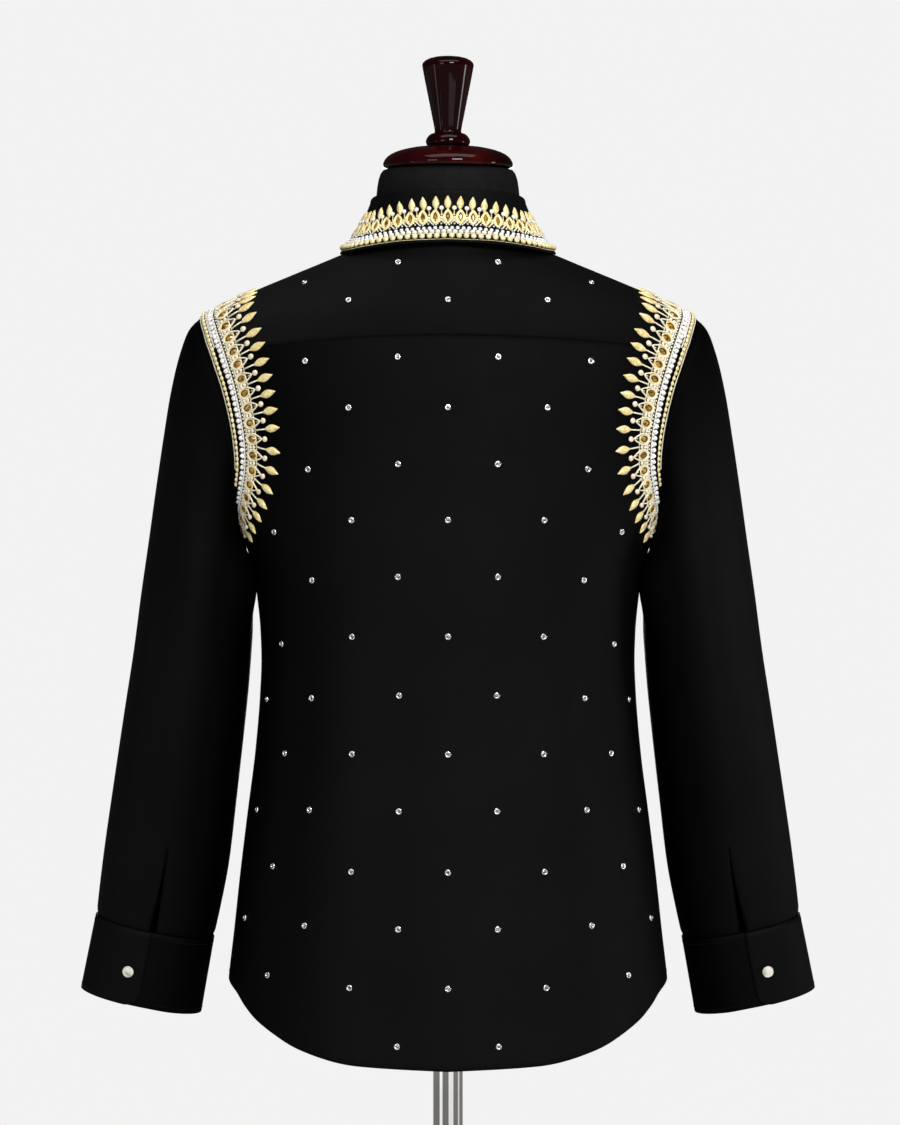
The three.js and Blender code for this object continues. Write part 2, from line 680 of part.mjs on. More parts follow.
// place(along, across, height) gives a point; leaves are [{ centre, length, halfWidth }].
function border(place, alongs, leaves, narrowing) {
  const rings = alongs.map((along) => BORDER_SECTION.map((row) => (
    place(along, row.across * narrowing(along), row.height))));
  let solid = solidOf(stack(rings));
  for (const one of leaves) {
    const narrow = narrowing(one.centre);
    const shape = leaf(place, one.centre, 22.5 * narrow, one.length * narrow, one.halfWidth);
    solid = solid.add(solidOf(shape));
  }
  return geometryOf(solid);
}

// Arc length along a row of points, and its inverse.
function measure(pointAt, from, to, steps) {
  const marks = [{ at: from, length: 0 }];
  let last = pointAt(from);
  for (let i = 1; i <= steps; i += 1) {
    const at = lerp(from, to, i / steps);
    const point = pointAt(at);
    marks.push({ at, length: marks[i - 1].length + point.distanceTo(last) });
    last = point;
  }
  return { total: marks[steps].length, at: curve(marks, "length", "at") };
}

const COLLAR_LEAVES = 41;
const COLLAR_LEAF_LENGTH = 18;
const COLLAR_LEAF_HALF = 3.3;

function collarBorder() {
  const run = measure((angle) => fall(angle, 0.5), FALL_END + 1.5, 180 - FALL_END - 1.5, 160);
  const place = (along, across, height) => {
    const angle = run.at(along);
    const drop = fall(angle, 0.07).distanceTo(fall(angle, 1));
    return fallAt(angle, 1 - (across / drop) * 0.93, height);
  };
  // The border and its leaves are a little lower where the fall is short.
  const pitch = run.total / COLLAR_LEAVES;
  const leaves = range(COLLAR_LEAVES).map((i) => (
    { centre: (i + 0.5) * pitch, length: COLLAR_LEAF_LENGTH, halfWidth: COLLAR_LEAF_HALF }));
  const alongs = levels(0, run.total, 34);
  return border(place, alongs, leaves, () => 1);
}

// Walks over the body's surface, straight in from the armhole seam, in steps of about 5 mm.
function walkIn(angle) {
  const start = armholePoint(angle);
  const ahead = armholePoint(angle + 0.5).sub(armholePoint(angle - 0.5)).normalize();
  const z = clamp(armholeZ(angle), UNDERARM_Z + 0.001, SHOULDER_Z - 0.001);
  let place = { angle: Math.sign(Math.sin(radians(angle))) * armholeAngle(z), z };
  let heading = bodyNormal(place.angle, place.z).cross(ahead).normalize();
  const track = [{ across: 0, ...place }];
  const STRIDE = 4;
  for (let across = STRIDE; across <= 60; across += STRIDE) {
    const d = 0.05;
    const byAngle = plainBody(place.angle + d, place.z).sub(plainBody(place.angle - d, place.z)).divideScalar(2 * d);
    const byZ = plainBody(place.angle, place.z + d).sub(plainBody(place.angle, place.z - d)).divideScalar(2 * d);
    const [aa, ab, bb] = [byAngle.dot(byAngle), byAngle.dot(byZ), byZ.dot(byZ)];
    const [ha, hb] = [heading.dot(byAngle) * STRIDE, heading.dot(byZ) * STRIDE];
    const det = aa * bb - ab * ab;
    const next = {
      angle: place.angle + (ha * bb - hb * ab) / det,
      z: place.z + (hb * aa - ha * ab) / det,
    };
    heading = plainBody(next.angle, next.z).sub(plainBody(place.angle, place.z)).normalize();
    place = next;
    track.push({ across, ...place });
  }
  return { angle: curve(track, "across", "angle"), z: curve(track, "across", "z"), start };
}

const ARMHOLE_BORDER_END = 135; // the border stops this far round from the top, front and back
const ARMHOLE_LEAVES = 36;
const ARMHOLE_LEAF_LENGTH = 29;
const ARMHOLE_LEAF_HALF = 3.9;
const BORDER_TAPER = 60; // millimetres over which the border narrows at its ends

function armholeBorder(side) {
  const end = ARMHOLE_BORDER_END;
  const run = measure(armholePoint, -end, end, 160);
  const tracks = new Map();
  const trackAt = (along) => {
    const key = along.toFixed(3);
    if (!tracks.has(key)) tracks.set(key, walkIn(run.at(along)));
    return tracks.get(key);
  };
  const place = (along, across, height) => {
    const track = trackAt(clamp(along, 0, run.total));
    return body(track.angle(across), track.z(across), height);
  };
  const narrowing = (along) => 0.45 + 0.55
    * smoothstep(0, BORDER_TAPER, along) * smoothstep(0, BORDER_TAPER, run.total - along);
  const pitch = run.total / ARMHOLE_LEAVES;
  const leaves = range(ARMHOLE_LEAVES).map((i) => (
    { centre: (i + 0.5) * pitch, length: ARMHOLE_LEAF_LENGTH, halfWidth: ARMHOLE_LEAF_HALF }));
  const alongs = levels(0, run.total, 44);
  const solid = border(place, alongs, leaves, narrowing);
  return side === "left" ? solid : mirrored(solid);
}

function mirrored(geometry) {
  const flipped = geometry.clone().applyMatrix4(new THREE.Matrix4().makeScale(-1, 1, 1));
  const index = flipped.index.array;
  for (let i = 0; i < index.length; i += 3) [index[i + 1], index[i + 2]] = [index[i + 2], index[i + 1]];
  return flipped;
}

// ---- buttons ------------------------------------------------------------------------------------

const BUTTON_RADIUS = 5.4;
const BUTTON_HEIGHT = 2.4;
const BUTTON_LIFT = 0.5;
const FRONT_BUTTON_LEVELS = [1296, 1212, 1128, 1044, 960, 876, 792];

function buttonAt(point, normal) {
  const [r, h] = [BUTTON_RADIUS, BUTTON_HEIGHT];
  const profile = [[0, 0], [r - 0.8, 0], [r, h * 0.6], [r - 0.6, h], [0, h]];
  const geometry = new THREE.LatheGeometry(profile.map(([x, y]) => new THREE.Vector2(x, y)), 10);
  const turn = new THREE.Quaternion().setFromUnitVectors(vec(0, 1, 0), normal);
  geometry.applyQuaternion(turn);
  const seat = point.clone().addScaledVector(normal, BUTTON_LIFT);
  return geometry.translate(seat.x, seat.y, seat.z);
}

function frontButton(z) {
  const rows = frontRows([1, 2], 0).map((row) => row.map(([angle, level]) => body(angle, level, SEAM_GAP + 1)));
  const middle = rows.map(([a, b]) => a.clone().lerp(b, 0.5));
  const i = middle.findIndex((point, index) => middle[index + 1].z >= z);
  const [low, high] = [middle[i], middle[i + 1]];
  const point = low.clone().lerp(high, (z - low.z) / (high.z - low.z));
  const up = high.clone().sub(low);
  return buttonAt(point, vec(1, 0, 0).cross(up).normalize());
}

function standButton() {
  const angle = -90;
  const low = body(angle, neckSeamZ(angle), 0);
  const high = foldPoint(angle, 0, collarFoldZ(angle));
  const up = high.clone().sub(low);
  return buttonAt(low.lerp(high, 0.42), vec(1, 0, 0).cross(up).normalize());
}

const CUFF_BUTTON_BACK = 13.5; // millimetres from the lap's edge

function cuffButton(side) {
  const angle = CUFF_EDGE_ANGLE - degrees(CUFF_BUTTON_BACK / 54);
  const normal = outward(plainCuff, angle, 1.09, 1, 0.05).negate();
  const solid = buttonAt(cuff(angle, 1.09, 0.15), normal);
  return side === "left" ? solid : mirrored(solid);
}

// ---- dress form and stand -----------------------------------------------------------------------

const FORM_SHOULDER = [
  // z, half width of the form's shoulder end
  [1083.5, 178],
  [1150, 182],
  [1200, 188],
  [1250, 202],
  [1300, 218],
].map(([z, x]) => ({ z, x }));
const FORM_NECK = [
  // z, half width, back, front
  [1390, 67.6, 62.2, 60],
  [1413, 66.9, 62, 61.6],
  [1427, 64.6, 61, 61.2],
  [1434, 63, 59.6, 60],
  [1438, 59.5, 56.4, 57],
].map(([z, half, back, front]) => ({ z, half, back, front }));
const FORM_EASE = 9; // how far the form stays inside the hanging cloth
const FORM_SEAT = CLOTH + 0.8; // how far inside the cloth's outer face the shoulders carry it
const FORM_FRONT_SEAT = 6; // the lapped fronts leave the form more room

function torsoForm() {
  const front = [-90, -75, -60, -45];
  const left = [...front, ...YOKE_COLUMNS];
  const all = [...left, 90, ...left.slice(1).reverse().map((angle) => 180 - angle)];
  const ring = (half, back, depth, z) => all.map((angle) => {
    const a = radians(angle);
    return vec(half * Math.cos(a), (Math.sin(a) >= 0 ? back : depth) * Math.sin(a), z);
  });
  const shoulder = curve(FORM_SHOULDER, "z", "x");
  const trunk = [FORM_BOTTOM_Z, 810, 900, 979, 1035, 1083, 1140, 1195, 1245].map((z) => {
    const half = z > UNDERARM_Z - 1 ? shoulder(z) : halfWidth(z) - FORM_EASE;
    return ring(half, backDepth(z) - FORM_EASE, frontDepth(z) - FORM_EASE, z);
  });
  const slope = UPPER_SHARES.map((t) => all.map((angle) => {
    const side = leftAngle(angle);
    let low = side < YOKE_CORNER ? armholeTopZ(side) : yokeBackZ(side);
    if (side < YOKE_FRONT_ANGLE) low = FRONT_CORNER_Z;
    const z = lerp(low, neckSeamZ(angle), t);
    const seat = lerp(FORM_FRONT_SEAT + 6 * t, FORM_SEAT + 1.6 * t ** 4, smoothstep(-70, YOKE_FRONT_ANGLE, side));
    return plainBody(angle, z).addScaledVector(bodyNormal(angle, z), -seat);
  }));
  const neck = FORM_NECK.map((row) => ring(row.half, row.back, row.front, row.z));
  return stack([...trunk, ...slope, ...neck]);
}

function lathe(profile, segments) {
  const geometry = new THREE.LatheGeometry(profile.map(([r, z]) => new THREE.Vector2(r, z)), segments);
  return geometry.rotateX(Math.PI / 2);
}

const NECK_TOP_Z = 1438;
const CAP_PROFILE = [
  [0, 1438.3], [58.5, 1438.3], [60.8, 1440], [60.4, 1443], [57.8, 1447.4], [52.4, 1452],
  [44, 1455.4], [32, 1457.9], [20, 1458.8], [0, 1458.8],
];
const FINIAL_PROFILE = [
  [0, 1459.1], [19, 1459.1], [20.9, 1462.2], [20.3, 1466.4], [17, 1469.8], [12.6, 1471.6],
  [12.4, 1473.5], [17.6, 1500], [24.1, 1534.5], [22.8, 1538], [14, 1542], [0, 1543.4],
];
const POLE_RADIUS = 13.8;
const BASE_RADIUS = 180;
const SOCKET_BOTTOM = 14;
const BASE_PROFILE = [
  [0, 0], [BASE_RADIUS - 3, 0], [BASE_RADIUS, 3], [BASE_RADIUS - 2, 8], [BASE_RADIUS - 12, 11], [34, 15],
  [27, 20], [24, 62], [22, 66], [POLE_RADIUS + 0.3, 66], [POLE_RADIUS + 0.3, SOCKET_BOTTOM], [0, SOCKET_BOTTOM],
];
const FLANGE_PROFILE = [
  [POLE_RADIUS + 0.3, FORM_BOTTOM_Z - 30], [20, FORM_BOTTOM_Z - 30], [22, FORM_BOTTOM_Z - 8],
  [58, FORM_BOTTOM_Z - 4], [60, FORM_BOTTOM_Z - 0.3], [POLE_RADIUS + 0.3, FORM_BOTTOM_Z - 0.3],
  [POLE_RADIUS + 0.3, FORM_BOTTOM_Z - 30],
];
const POLE_PROFILE = [
  [0, SOCKET_BOTTOM + 0.3], [POLE_RADIUS, SOCKET_BOTTOM + 0.3],
  [POLE_RADIUS, FORM_BOTTOM_Z - 0.3], [0, FORM_BOTTOM_Z - 0.3],
];

// ---- materials and assembly ---------------------------------------------------------------------

const finish = (color, roughness, metalness) => new THREE.MeshStandardMaterial({ color, roughness, metalness });
const shirting = finish(0x121213, 0.75, 0);
const goldwork = finish(0xd9b566, 0.35, 0.8);
const shell = finish(0xf2efe4, 0.25, 0.1);
const jersey = finish(0x1b1b1c, 0.9, 0);
const cherry = finish(0x3a0d0b, 0.15, 0);
const steel = finish(0xc9c8c5, 0.18, 1);

const shirt = new THREE.Group();
function add(name, geometry, material) {
  const mesh = new THREE.Mesh(geometry, material);
  mesh.name = name;
  shirt.add(mesh);
}

add("back", backPanel(), shirting);
add("yoke", yoke(), shirting);
add("placket", placketBand(), shirting);
add("collar_stand", collarStand(), shirting);
add("collar_fall", collarFall(), shirting);
add("collar_border", collarBorder(), goldwork);
for (const side of ["left", "right"]) {
  add(`front_${side}`, frontPanel(side), shirting);
  for (const length of ["top", "middle", "lower"]) {
    add(`sleeve_${length}_${side}`, sleeveWall(side, length), shirting);
  }
  add(`cuff_${side}`, cuffWall(side), shirting);
  add(`armhole_border_${side}`, armholeBorder(side), goldwork);
  add(`cuff_button_${side}`, cuffButton(side), shell);
}
add("collar_button", standButton(), shell);
FRONT_BUTTON_LEVELS.forEach((z, i) => add(`front_button_${i + 1}`, frontButton(z), shell));
add("dress_form", torsoForm(), jersey);
add("neck_cap", lathe(CAP_PROFILE, 24), cherry);
add("finial", lathe(FINIAL_PROFILE, 16), cherry);
add("form_flange", lathe(FLANGE_PROFILE, 16), steel);
add("stand_pole", lathe(POLE_PROFILE, 16), steel);
add("stand_base", lathe(BASE_PROFILE, 28), steel);

export default shirt;
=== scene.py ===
import math
import bmesh
import bpy
import numpy as np
from mathutils import Matrix, Vector


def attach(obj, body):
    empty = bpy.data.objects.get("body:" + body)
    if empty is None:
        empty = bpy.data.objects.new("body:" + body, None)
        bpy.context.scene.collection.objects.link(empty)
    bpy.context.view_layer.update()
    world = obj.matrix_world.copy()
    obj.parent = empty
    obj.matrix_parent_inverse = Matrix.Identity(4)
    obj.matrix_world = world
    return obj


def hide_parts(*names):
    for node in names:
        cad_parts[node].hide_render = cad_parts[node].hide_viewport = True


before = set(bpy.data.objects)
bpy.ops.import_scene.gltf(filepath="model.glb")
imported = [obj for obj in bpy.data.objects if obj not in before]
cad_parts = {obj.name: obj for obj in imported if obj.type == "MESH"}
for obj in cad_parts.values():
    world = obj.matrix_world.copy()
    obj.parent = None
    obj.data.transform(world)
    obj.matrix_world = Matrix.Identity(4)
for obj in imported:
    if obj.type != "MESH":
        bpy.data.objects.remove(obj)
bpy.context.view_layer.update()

SEED = np.random.default_rng(7)
MM = 0.001

# ---- sizes in millimetres and angles in degrees --------------------------------------------------
# Round the body, angle 0 is the left side, 90 the middle of the back and -90 that of the front.
# Round a sleeve or cuff, 0 is its outer side, 90 its back and 180 its inner side.
# The left side is +x and the back is +y; the right sleeve and cuff mirror the left ones.

CLOTH = 1.2
STIFFENED = 1.8
UNDERARM_Z = 1083.5
SHOULDER_Z = 1298.5
ARMHOLE_HALF_DEPTH = 60
YOKE_BACK_Z = 1278
YOKE_BACK_DIP = 17
YOKE_FRONT_ANGLE = -26
PLACKET_HALF = 17.5
HEM_SIDE_Z = 684.3
BACK_TAIL = 78.2
FRONT_TAIL = 62
FORM_BOTTOM_Z = 715
CUFF_EDGE_ANGLE = 88
CUFF_LAP_ANGLE = 28
LAP_DROP = 2.7
POLE_RADIUS = 13.8
BASE_RADIUS = 180


def table(columns, rows):
    return dict(zip(columns.split(), np.array(rows, float).T))


def rows_of(columns):
    return [dict(zip(columns, row)) for row in zip(*columns.values())]


# Half the width and the depths behind and in front of the pole, level by level.
BODY_SECTIONS = table(
    "z half back front",
    [
        (595, 212, 133, 132), (684.3, 204.8, 130, 129), (726, 200, 128, 127), (782, 194, 125.5, 124.5),
        (838, 187.2, 123.5, 122.5), (895, 180, 121, 121), (950, 175.5, 119.3, 120.5),
        (979, 174.4, 119, 121), (1007, 175.3, 120.5, 123), (1035, 178, 123, 126), (1060, 181.5, 124.6, 128),
        (1083.5, 188, 125.6, 130), (1100, 195.3, 126, 131), (1125, 206.3, 125.8, 132),
        (1153, 218, 124.8, 131.8), (1194, 231, 121, 129), (1232, 239.6, 115, 123), (1254, 242, 111, 119),
        (1270, 241.5, 106.8, 115), (1285, 238, 102, 110), (1298.5, 231.4, 97, 104.5), (1305, 222, 94, 101),
        (1314, 203, 89.5, 95.5), (1325, 178, 84, 88.5), (1340, 142, 77, 78), (1353, 110.5, 72, 71),
        (1362, 90, 69, 69), (1371, 77, 67.5, 68.3), (1382, 73, 66.6, 67.6), (1400, 72, 66, 67.5),
    ],
)
# How much of the tail's length is there, from the middle of the back or front to the side.
HEM_CURVE = table(
    "angle share",
    [(0, 1), (23.4, 0.947), (39.4, 0.79), (50.1, 0.632), (58.6, 0.474), (65.3, 0.316), (72.6, 0.158), (90, 0)],
)
# Soft upright folds: where, how wide and high, and between which levels they fade.
BODY_FOLDS = table(
    "angle width height top bottom",
    [
        (38, 9, -3.4, 1090, 640), (56, 10, 2.6, 1120, 620), (74, 8, -1.6, 1000, 600),
        (106, 8, -1.6, 1010, 600), (125, 10, 2.4, 1110, 620), (143, 9, -3.2, 1100, 640),
        (215, 9, -2.8, 1080, 640), (236, 10, 2.2, 1100, 620), (304, 10, 2.4, 1090, 620),
        (326, 9, -3, 1070, 640),
    ],
)
NECK = table(
    "angle seam fold",
    [
        (-100, 1345, 1379), (-90, 1345, 1379), (-60, 1352, 1388), (-30, 1363, 1399), (0, 1370, 1406),
        (45, 1374.5, 1410), (90, 1376, 1411.5),
    ],
)
FOLD_HALF_WIDTH, FOLD_BACK, FOLD_FRONT = 69.6, 65, 68
COLLAR_EDGE = table(
    "angle x y z",
    [
        (-86, 38, -95, 1318), (-73, 55, -88, 1326), (-60, 72, -77, 1335), (-30, 94.4, -45, 1355.6),
        (0, 101.2, 0, 1358.9), (25, 94, 35, 1358.2), (45, 75, 58, 1360.7), (68, 38, 74, 1364.4),
        (90, 0, 78.5, 1365.5),
    ],
)
ROLL = table(
    "out up",
    [(3.2, -1.2), (3.0, 1.0), (2.1, 2.7), (0.6, 3.4), (-0.8, 2.6), (-1.4, 0.8), (-1.5, -1.5)],
)
# Rings down a sleeve: its outer and inner edge, half its depth, its middle's y and its lean.
SLEEVE_RINGS = table(
    "outer_x outer_z inner_x inner_z depth y lean",
    [
        (231.7, 1298.4, 188.3, 1083.2, 62, 0, 0), (242, 1287.5, 188.8, 1079, 63, 0, 0),
        (251, 1264, 187.8, 1071, 63.5, -0.5, 0), (259.5, 1227.5, 185.8, 1060, 63.5, -1, 0),
        (266.2, 1186, 184, 1046, 63, -2, 0), (273, 1140, 182.8, 1030, 62, -3, 1),
        (280, 1090, 182.6, 1010, 60, -4, 2), (287.3, 1040, 184, 985, 57, -6, 3),
        (294, 990, 186.6, 953, 54, -9, 4), (303.2, 932, 191.2, 910, 50.5, -14, 5),
        (313.6, 865, 198.3, 849, 46, -21, 7), (322.8, 804, 205.8, 788, 41.5, -28, 9),
        (328, 765, 214.3, 745, 38, -34, 10), (331.2, 738, 220.8, 716.5, 35.5, -38.5, 10),
    ],
)
CUFF_RINGS = table(
    "outer_x outer_z inner_x inner_z depth y lean",
    [
        (331.7, 739.6, 220, 717.9, 36.2, -38.2, 10), (339.3, 704, 226.6, 681.5, 36, -44.4, 10),
        (346.5, 669.8, 232.8, 646.8, 35.5, -50.4, 10),
    ],
)
SLEEVE_FOLDS = table(
    "angle width height first last",
    [
        (52, 12, -2.2, 3, 9), (118, 13, -2.4, 4, 12), (84, 11, 1.6, 5, 11), (-60, 13, -2.2, 3, 10),
        (-112, 13, -2, 5, 12), (147, 18, 13, 2.1, 6.1),
    ],
)
# Stones on the back: level, then how far out from the centre line (mirrored on the other side).
BACK_STONES = table(
    "z out",
    [
        (1346.8, 46), (1329, 132.6), (1311.2, 0), (1311.2, 91.5), (1258, 46), (1254.8, 131), (1211.6, 0),
        (1211.6, 91), (1159.7, 45.5), (1155.5, 128), (1108.7, 0), (1108.7, 88), (1098.2, 160),
        (1056.8, 45.5), (1053.8, 124.5), (1002.2, 0), (1002.2, 87), (994.6, 154), (948.4, 44.6),
        (945.2, 126), (943, 168), (894.7, 0), (894.7, 87), (894, 152), (842.8, 45), (842.8, 127),
        (840.7, 177), (787.2, 0), (787.2, 88), (790, 163), (735.3, 45.5), (737, 131), (740.5, 188),
        (681.6, 0), (681.6, 89.5), (690, 168), (628.8, 46.5),
    ],
)
FRONT_BUTTON_LEVELS = (1296, 1212, 1128, 1044, 960, 876, 792)

# ---- curves and surfaces -------------------------------------------------------------------------


def lerp(a, b, t):
    return a + (b - a) * t


def smoothstep(low, high, x):
    t = np.clip((np.asarray(x, float) - low) / (high - low), 0, 1)
    return t * t * (3 - 2 * t)


def curve(x, y):
    """A smooth curve through table rows that never overshoots them."""
    width = np.diff(x)
    steep = np.diff(y) / width
    slope = np.zeros(len(x))
    slope[0], slope[-1] = steep[0], steep[-1]
    a, b = 2 * width[1:] + width[:-1], width[1:] + 2 * width[:-1]
    same = steep[:-1] * steep[1:] > 0
    slope[1:-1][same] = ((a + b)[same]) / (a[same] / steep[:-1][same] + b[same] / steep[1:][same])

    def at(v):
        v = np.clip(v, x[0], x[-1])
        i = np.clip(np.searchsorted(x, v) - 1, 0, len(width) - 1)
        t = (v - x[i]) / width[i]
        t2, t3 = t * t, t * t * t
        return (
            (2 * t3 - 3 * t2 + 1) * y[i]
            + (t3 - 2 * t2 + t) * width[i] * slope[i]
            + (3 * t2 - 2 * t3) * y[i + 1]
            + (t3 - t2) * width[i] * slope[i + 1]
        )

    return at


def curves(rows, key=None):
    x = rows[key] if key else np.arange(len(next(iter(rows.values()))), dtype=float)
    return {name: curve(x, y) for name, y in rows.items() if name != key}


BODY = curves(BODY_SECTIONS, "z")
hem_share = curves(HEM_CURVE, "angle")["share"]
neck = curves(NECK, "angle")
collar_edge = curves(COLLAR_EDGE, "angle")
sleeve_rings, cuff_rings = curves(SLEEVE_RINGS), curves(CUFF_RINGS)
LAST_RING = 13
ARMHOLE_MID = (UNDERARM_Z + SHOULDER_Z) / 2
ARMHOLE_HALF = (SHOULDER_Z - UNDERARM_Z) / 2


def points(x, y, z):
    return np.stack(np.broadcast_arrays(x, y, z), -1).astype(float)


def unit(v):
    return v / np.maximum(np.linalg.norm(v, axis=-1, keepdims=True), 1e-12)


def outward(surface, u, v, du, dv):
    across = surface(u + du, v) - surface(u - du, v)
    along = surface(u, v + dv) - surface(u, v - dv)
    return unit(np.cross(across, along))


def armhole_angle(z):
    u = np.clip((z - ARMHOLE_MID) / ARMHOLE_HALF, -1, 1)
    depth = ARMHOLE_HALF_DEPTH * (1 - u * u) ** np.where(u < 0, 0.8, 0.5)
    return np.degrees(np.arcsin(depth / BODY["back"](z)))


def armhole_z(angle):
    return ARMHOLE_MID + ARMHOLE_HALF * np.cos(np.radians(angle))


def fold_height(angle, z):
    turned = np.mod(angle, 360)
    height = 0
    for f in rows_of(BODY_FOLDS):
        along = smoothstep(f["top"], f["top"] - 180, z) * smoothstep(f["bottom"] - 260, f["bottom"], z)
        height = height + f["height"] * np.exp(-(((turned - f["angle"]) / f["width"]) ** 2)) * along
    return height


def plain_body(angle, z):
    a = np.radians(angle)
    depth = np.where(np.sin(a) >= 0, BODY["back"](z), BODY["front"](z))
    return points(BODY["half"](z) * np.cos(a), depth * np.sin(a), z)


def body_normal(angle, z):
    return outward(plain_body, angle, z, 0.5, 0.5)


def body(angle, z, out=0.0):
    """The outer face of the shirt's body, or one that far beyond it."""
    angle, z = np.broadcast_arrays(np.asarray(angle, float), np.asarray(z, float))
    push = fold_height(angle, z) + out
    return plain_body(angle, z) + body_normal(angle, z) * np.asarray(push)[..., None]


def left_angle(angle):
    turned = np.mod(angle + 90, 360) - 90
    return np.where(turned > 90, 180 - turned, turned)


def hem_z(angle):
    sine = np.sin(np.radians(angle))
    side = np.degrees(np.arcsin(np.abs(sine)))
    return HEM_SIDE_Z - np.where(sine > 0, BACK_TAIL, FRONT_TAIL) * hem_share(90 - side)


def neck_seam_z(angle):
    return neck["seam"](left_angle(angle))


def collar_fold_z(angle):
    return neck["fold"](left_angle(angle))


def yoke_back_z(angle):
    return YOKE_BACK_Z - YOKE_BACK_DIP * np.cos(np.radians(angle)) ** 2


def armhole_top_z(angle):
    """The upper level at which the armhole lies at a section angle."""
    low = np.full(np.shape(angle), ARMHOLE_MID + 1.0)
    high = np.full(np.shape(angle), float(SHOULDER_Z))
    for _ in range(40):
        mid = (low + high) / 2
        inside = armhole_angle(mid) > np.abs(angle)
        low, high = np.where(inside, mid, low), np.where(inside, high, mid)
    return (low + high) / 2


_angles = np.linspace(10, 29, 400)
YOKE_CORNER = float(_angles[np.argmin(np.abs(armhole_top_z(_angles) - yoke_back_z(_angles)))])
FRONT_CORNER_Z = float(armhole_top_z(np.array(float(YOKE_FRONT_ANGLE))))


def centre_angle(z, x):
    return -90 + np.degrees(np.arcsin(x / BODY["half"](z)))


def fold_point(angle, out, z):
    a = np.radians(angle)
    depth = np.where(np.sin(a) >= 0, FOLD_BACK, FOLD_FRONT)
    return points((FOLD_HALF_WIDTH + out) * np.cos(a), (depth + out) * np.sin(a), z)


FALL_ROOT = 0.07
FALL_HOLLOW = 3.2


def fall(angle, share):
    """The collar fall's outer face: share 0 is under the roll and 1 the free edge."""
    angle, share = np.broadcast_arrays(np.asarray(angle, float), np.asarray(share, float))
    side = left_angle(angle)
    sign = np.where(np.cos(np.radians(angle)) < 0, -1, 1)
    edge = points(collar_edge["x"](side) * sign, collar_edge["y"](side), collar_edge["z"](side))
    shoulder = fold_point(angle, ROLL["out"][0], collar_fold_z(angle) + ROLL["up"][0])
    t = np.clip((share - FALL_ROOT) / (1 - FALL_ROOT), -0.1, 1)
    p = lerp(shoulder, edge, t[..., None])
    inwards = unit(p * (1, 1, 0))
    return p - inwards * (FALL_HOLLOW * np.sin(np.pi * np.clip(t, 0, 1)))[..., None]


def fall_normal(angle, share):
    return -outward(fall, angle, np.clip(share, 0.08, 0.995), 0.5, 0.004)


def fall_at(angle, share, out):
    return fall(angle, share) + fall_normal(angle, share) * np.asarray(out)[..., None]


def ring_point(rings, angle, ring):
    a = np.radians(angle)
    outer = points(rings["outer_x"](ring), rings["y"](ring), rings["outer_z"](ring))
    inner = points(rings["inner_x"](ring), rings["y"](ring), rings["inner_z"](ring))
    lean = np.radians(rings["lean"](ring))
    axis = points(0, np.cos(lean), -np.sin(lean)) * rings["depth"](ring)[..., None]
    return lerp(outer, inner, ((1 - np.cos(a)) / 2)[..., None]) + axis * np.sin(a)[..., None]


def armhole_point(angle):
    z = np.clip(armhole_z(angle), UNDERARM_Z + 0.001, SHOULDER_Z - 0.001)
    return body(np.sign(np.sin(np.radians(angle))) * armhole_angle(z), z)


SLIT_TOP_RING = 10.7
SLIT_STEP = 2.4
SLIT_SPREAD = 7.0


def slit_open(ring):
    return np.clip((ring - SLIT_TOP_RING) / (LAST_RING - SLIT_TOP_RING), 0, 1)


def slit_angle(ring):
    """Where the slit's upper edge lies: it leans outwards on its way to the cuff."""
    return CUFF_EDGE_ANGLE + 3 - 5.5 * slit_open(ring)


def plain_sleeve(angle, ring):
    angle, ring = np.broadcast_arrays(np.asarray(angle, float), np.asarray(ring, float))
    fade = 1 - smoothstep(0, 6, ring)
    seam = armhole_point(angle) - ring_point(sleeve_rings, angle, np.zeros(ring.shape))
    return ring_point(sleeve_rings, angle, ring) + seam * fade[..., None]


def sleeve_fold(angle, ring):
    height = 0
    for f in rows_of(SLEEVE_FOLDS):
        turned = np.mod(angle - f["angle"] + 180, 360) - 180
        along = smoothstep(f["first"] - 1, f["first"] + 2, ring) * (
            1 - smoothstep(f["last"] - 2, f["last"] + 1, ring)
        )
        height = height + f["height"] * np.exp(-((turned / f["width"]) ** 2)) * along
    return height


def slit_step(angle, ring):
    """Below the slit's top its inner side lies a step lower than its upper edge."""
    edge = slit_angle(ring)
    past = np.mod(angle - edge - 0.01, 360)
    past = np.where(past > 345, past - 360, past)
    opened = smoothstep(SLIT_TOP_RING, LAST_RING, ring)
    under = (angle > edge) | (angle < edge - 200)
    return -SLIT_STEP * opened * (1 - smoothstep(8, 70, past)) * under


def sleeve(angle, ring, out):
    angle, ring = np.broadcast_arrays(np.asarray(angle, float), np.asarray(ring, float))
    normal = -outward(plain_sleeve, angle, ring, 1, 0.05)
    push = sleeve_fold(angle, ring) + slit_step(angle, ring) + out
    away = unit(plain_sleeve(angle, ring + 0.05) - plain_sleeve(angle, ring))
    lift = 0.6 * (1 - smoothstep(0, 0.5, ring))
    return plain_sleeve(angle, ring) + normal * push[..., None] + away * lift[..., None]


def cuff(angle, ring, out=0.0):
    angle, ring = np.broadcast_arrays(np.asarray(angle, float), np.asarray(ring, float))

    def plain(a, r):
        return ring_point(cuff_rings, a, r)

    normal = -outward(plain, angle, ring, 1, 0.05)
    under = smoothstep(CUFF_EDGE_ANGLE - 326, CUFF_EDGE_ANGLE - 354, angle)
    return plain(angle, ring) + normal * (out - LAP_DROP * under)[..., None]


# ---- mesh helpers --------------------------------------------------------------------------------


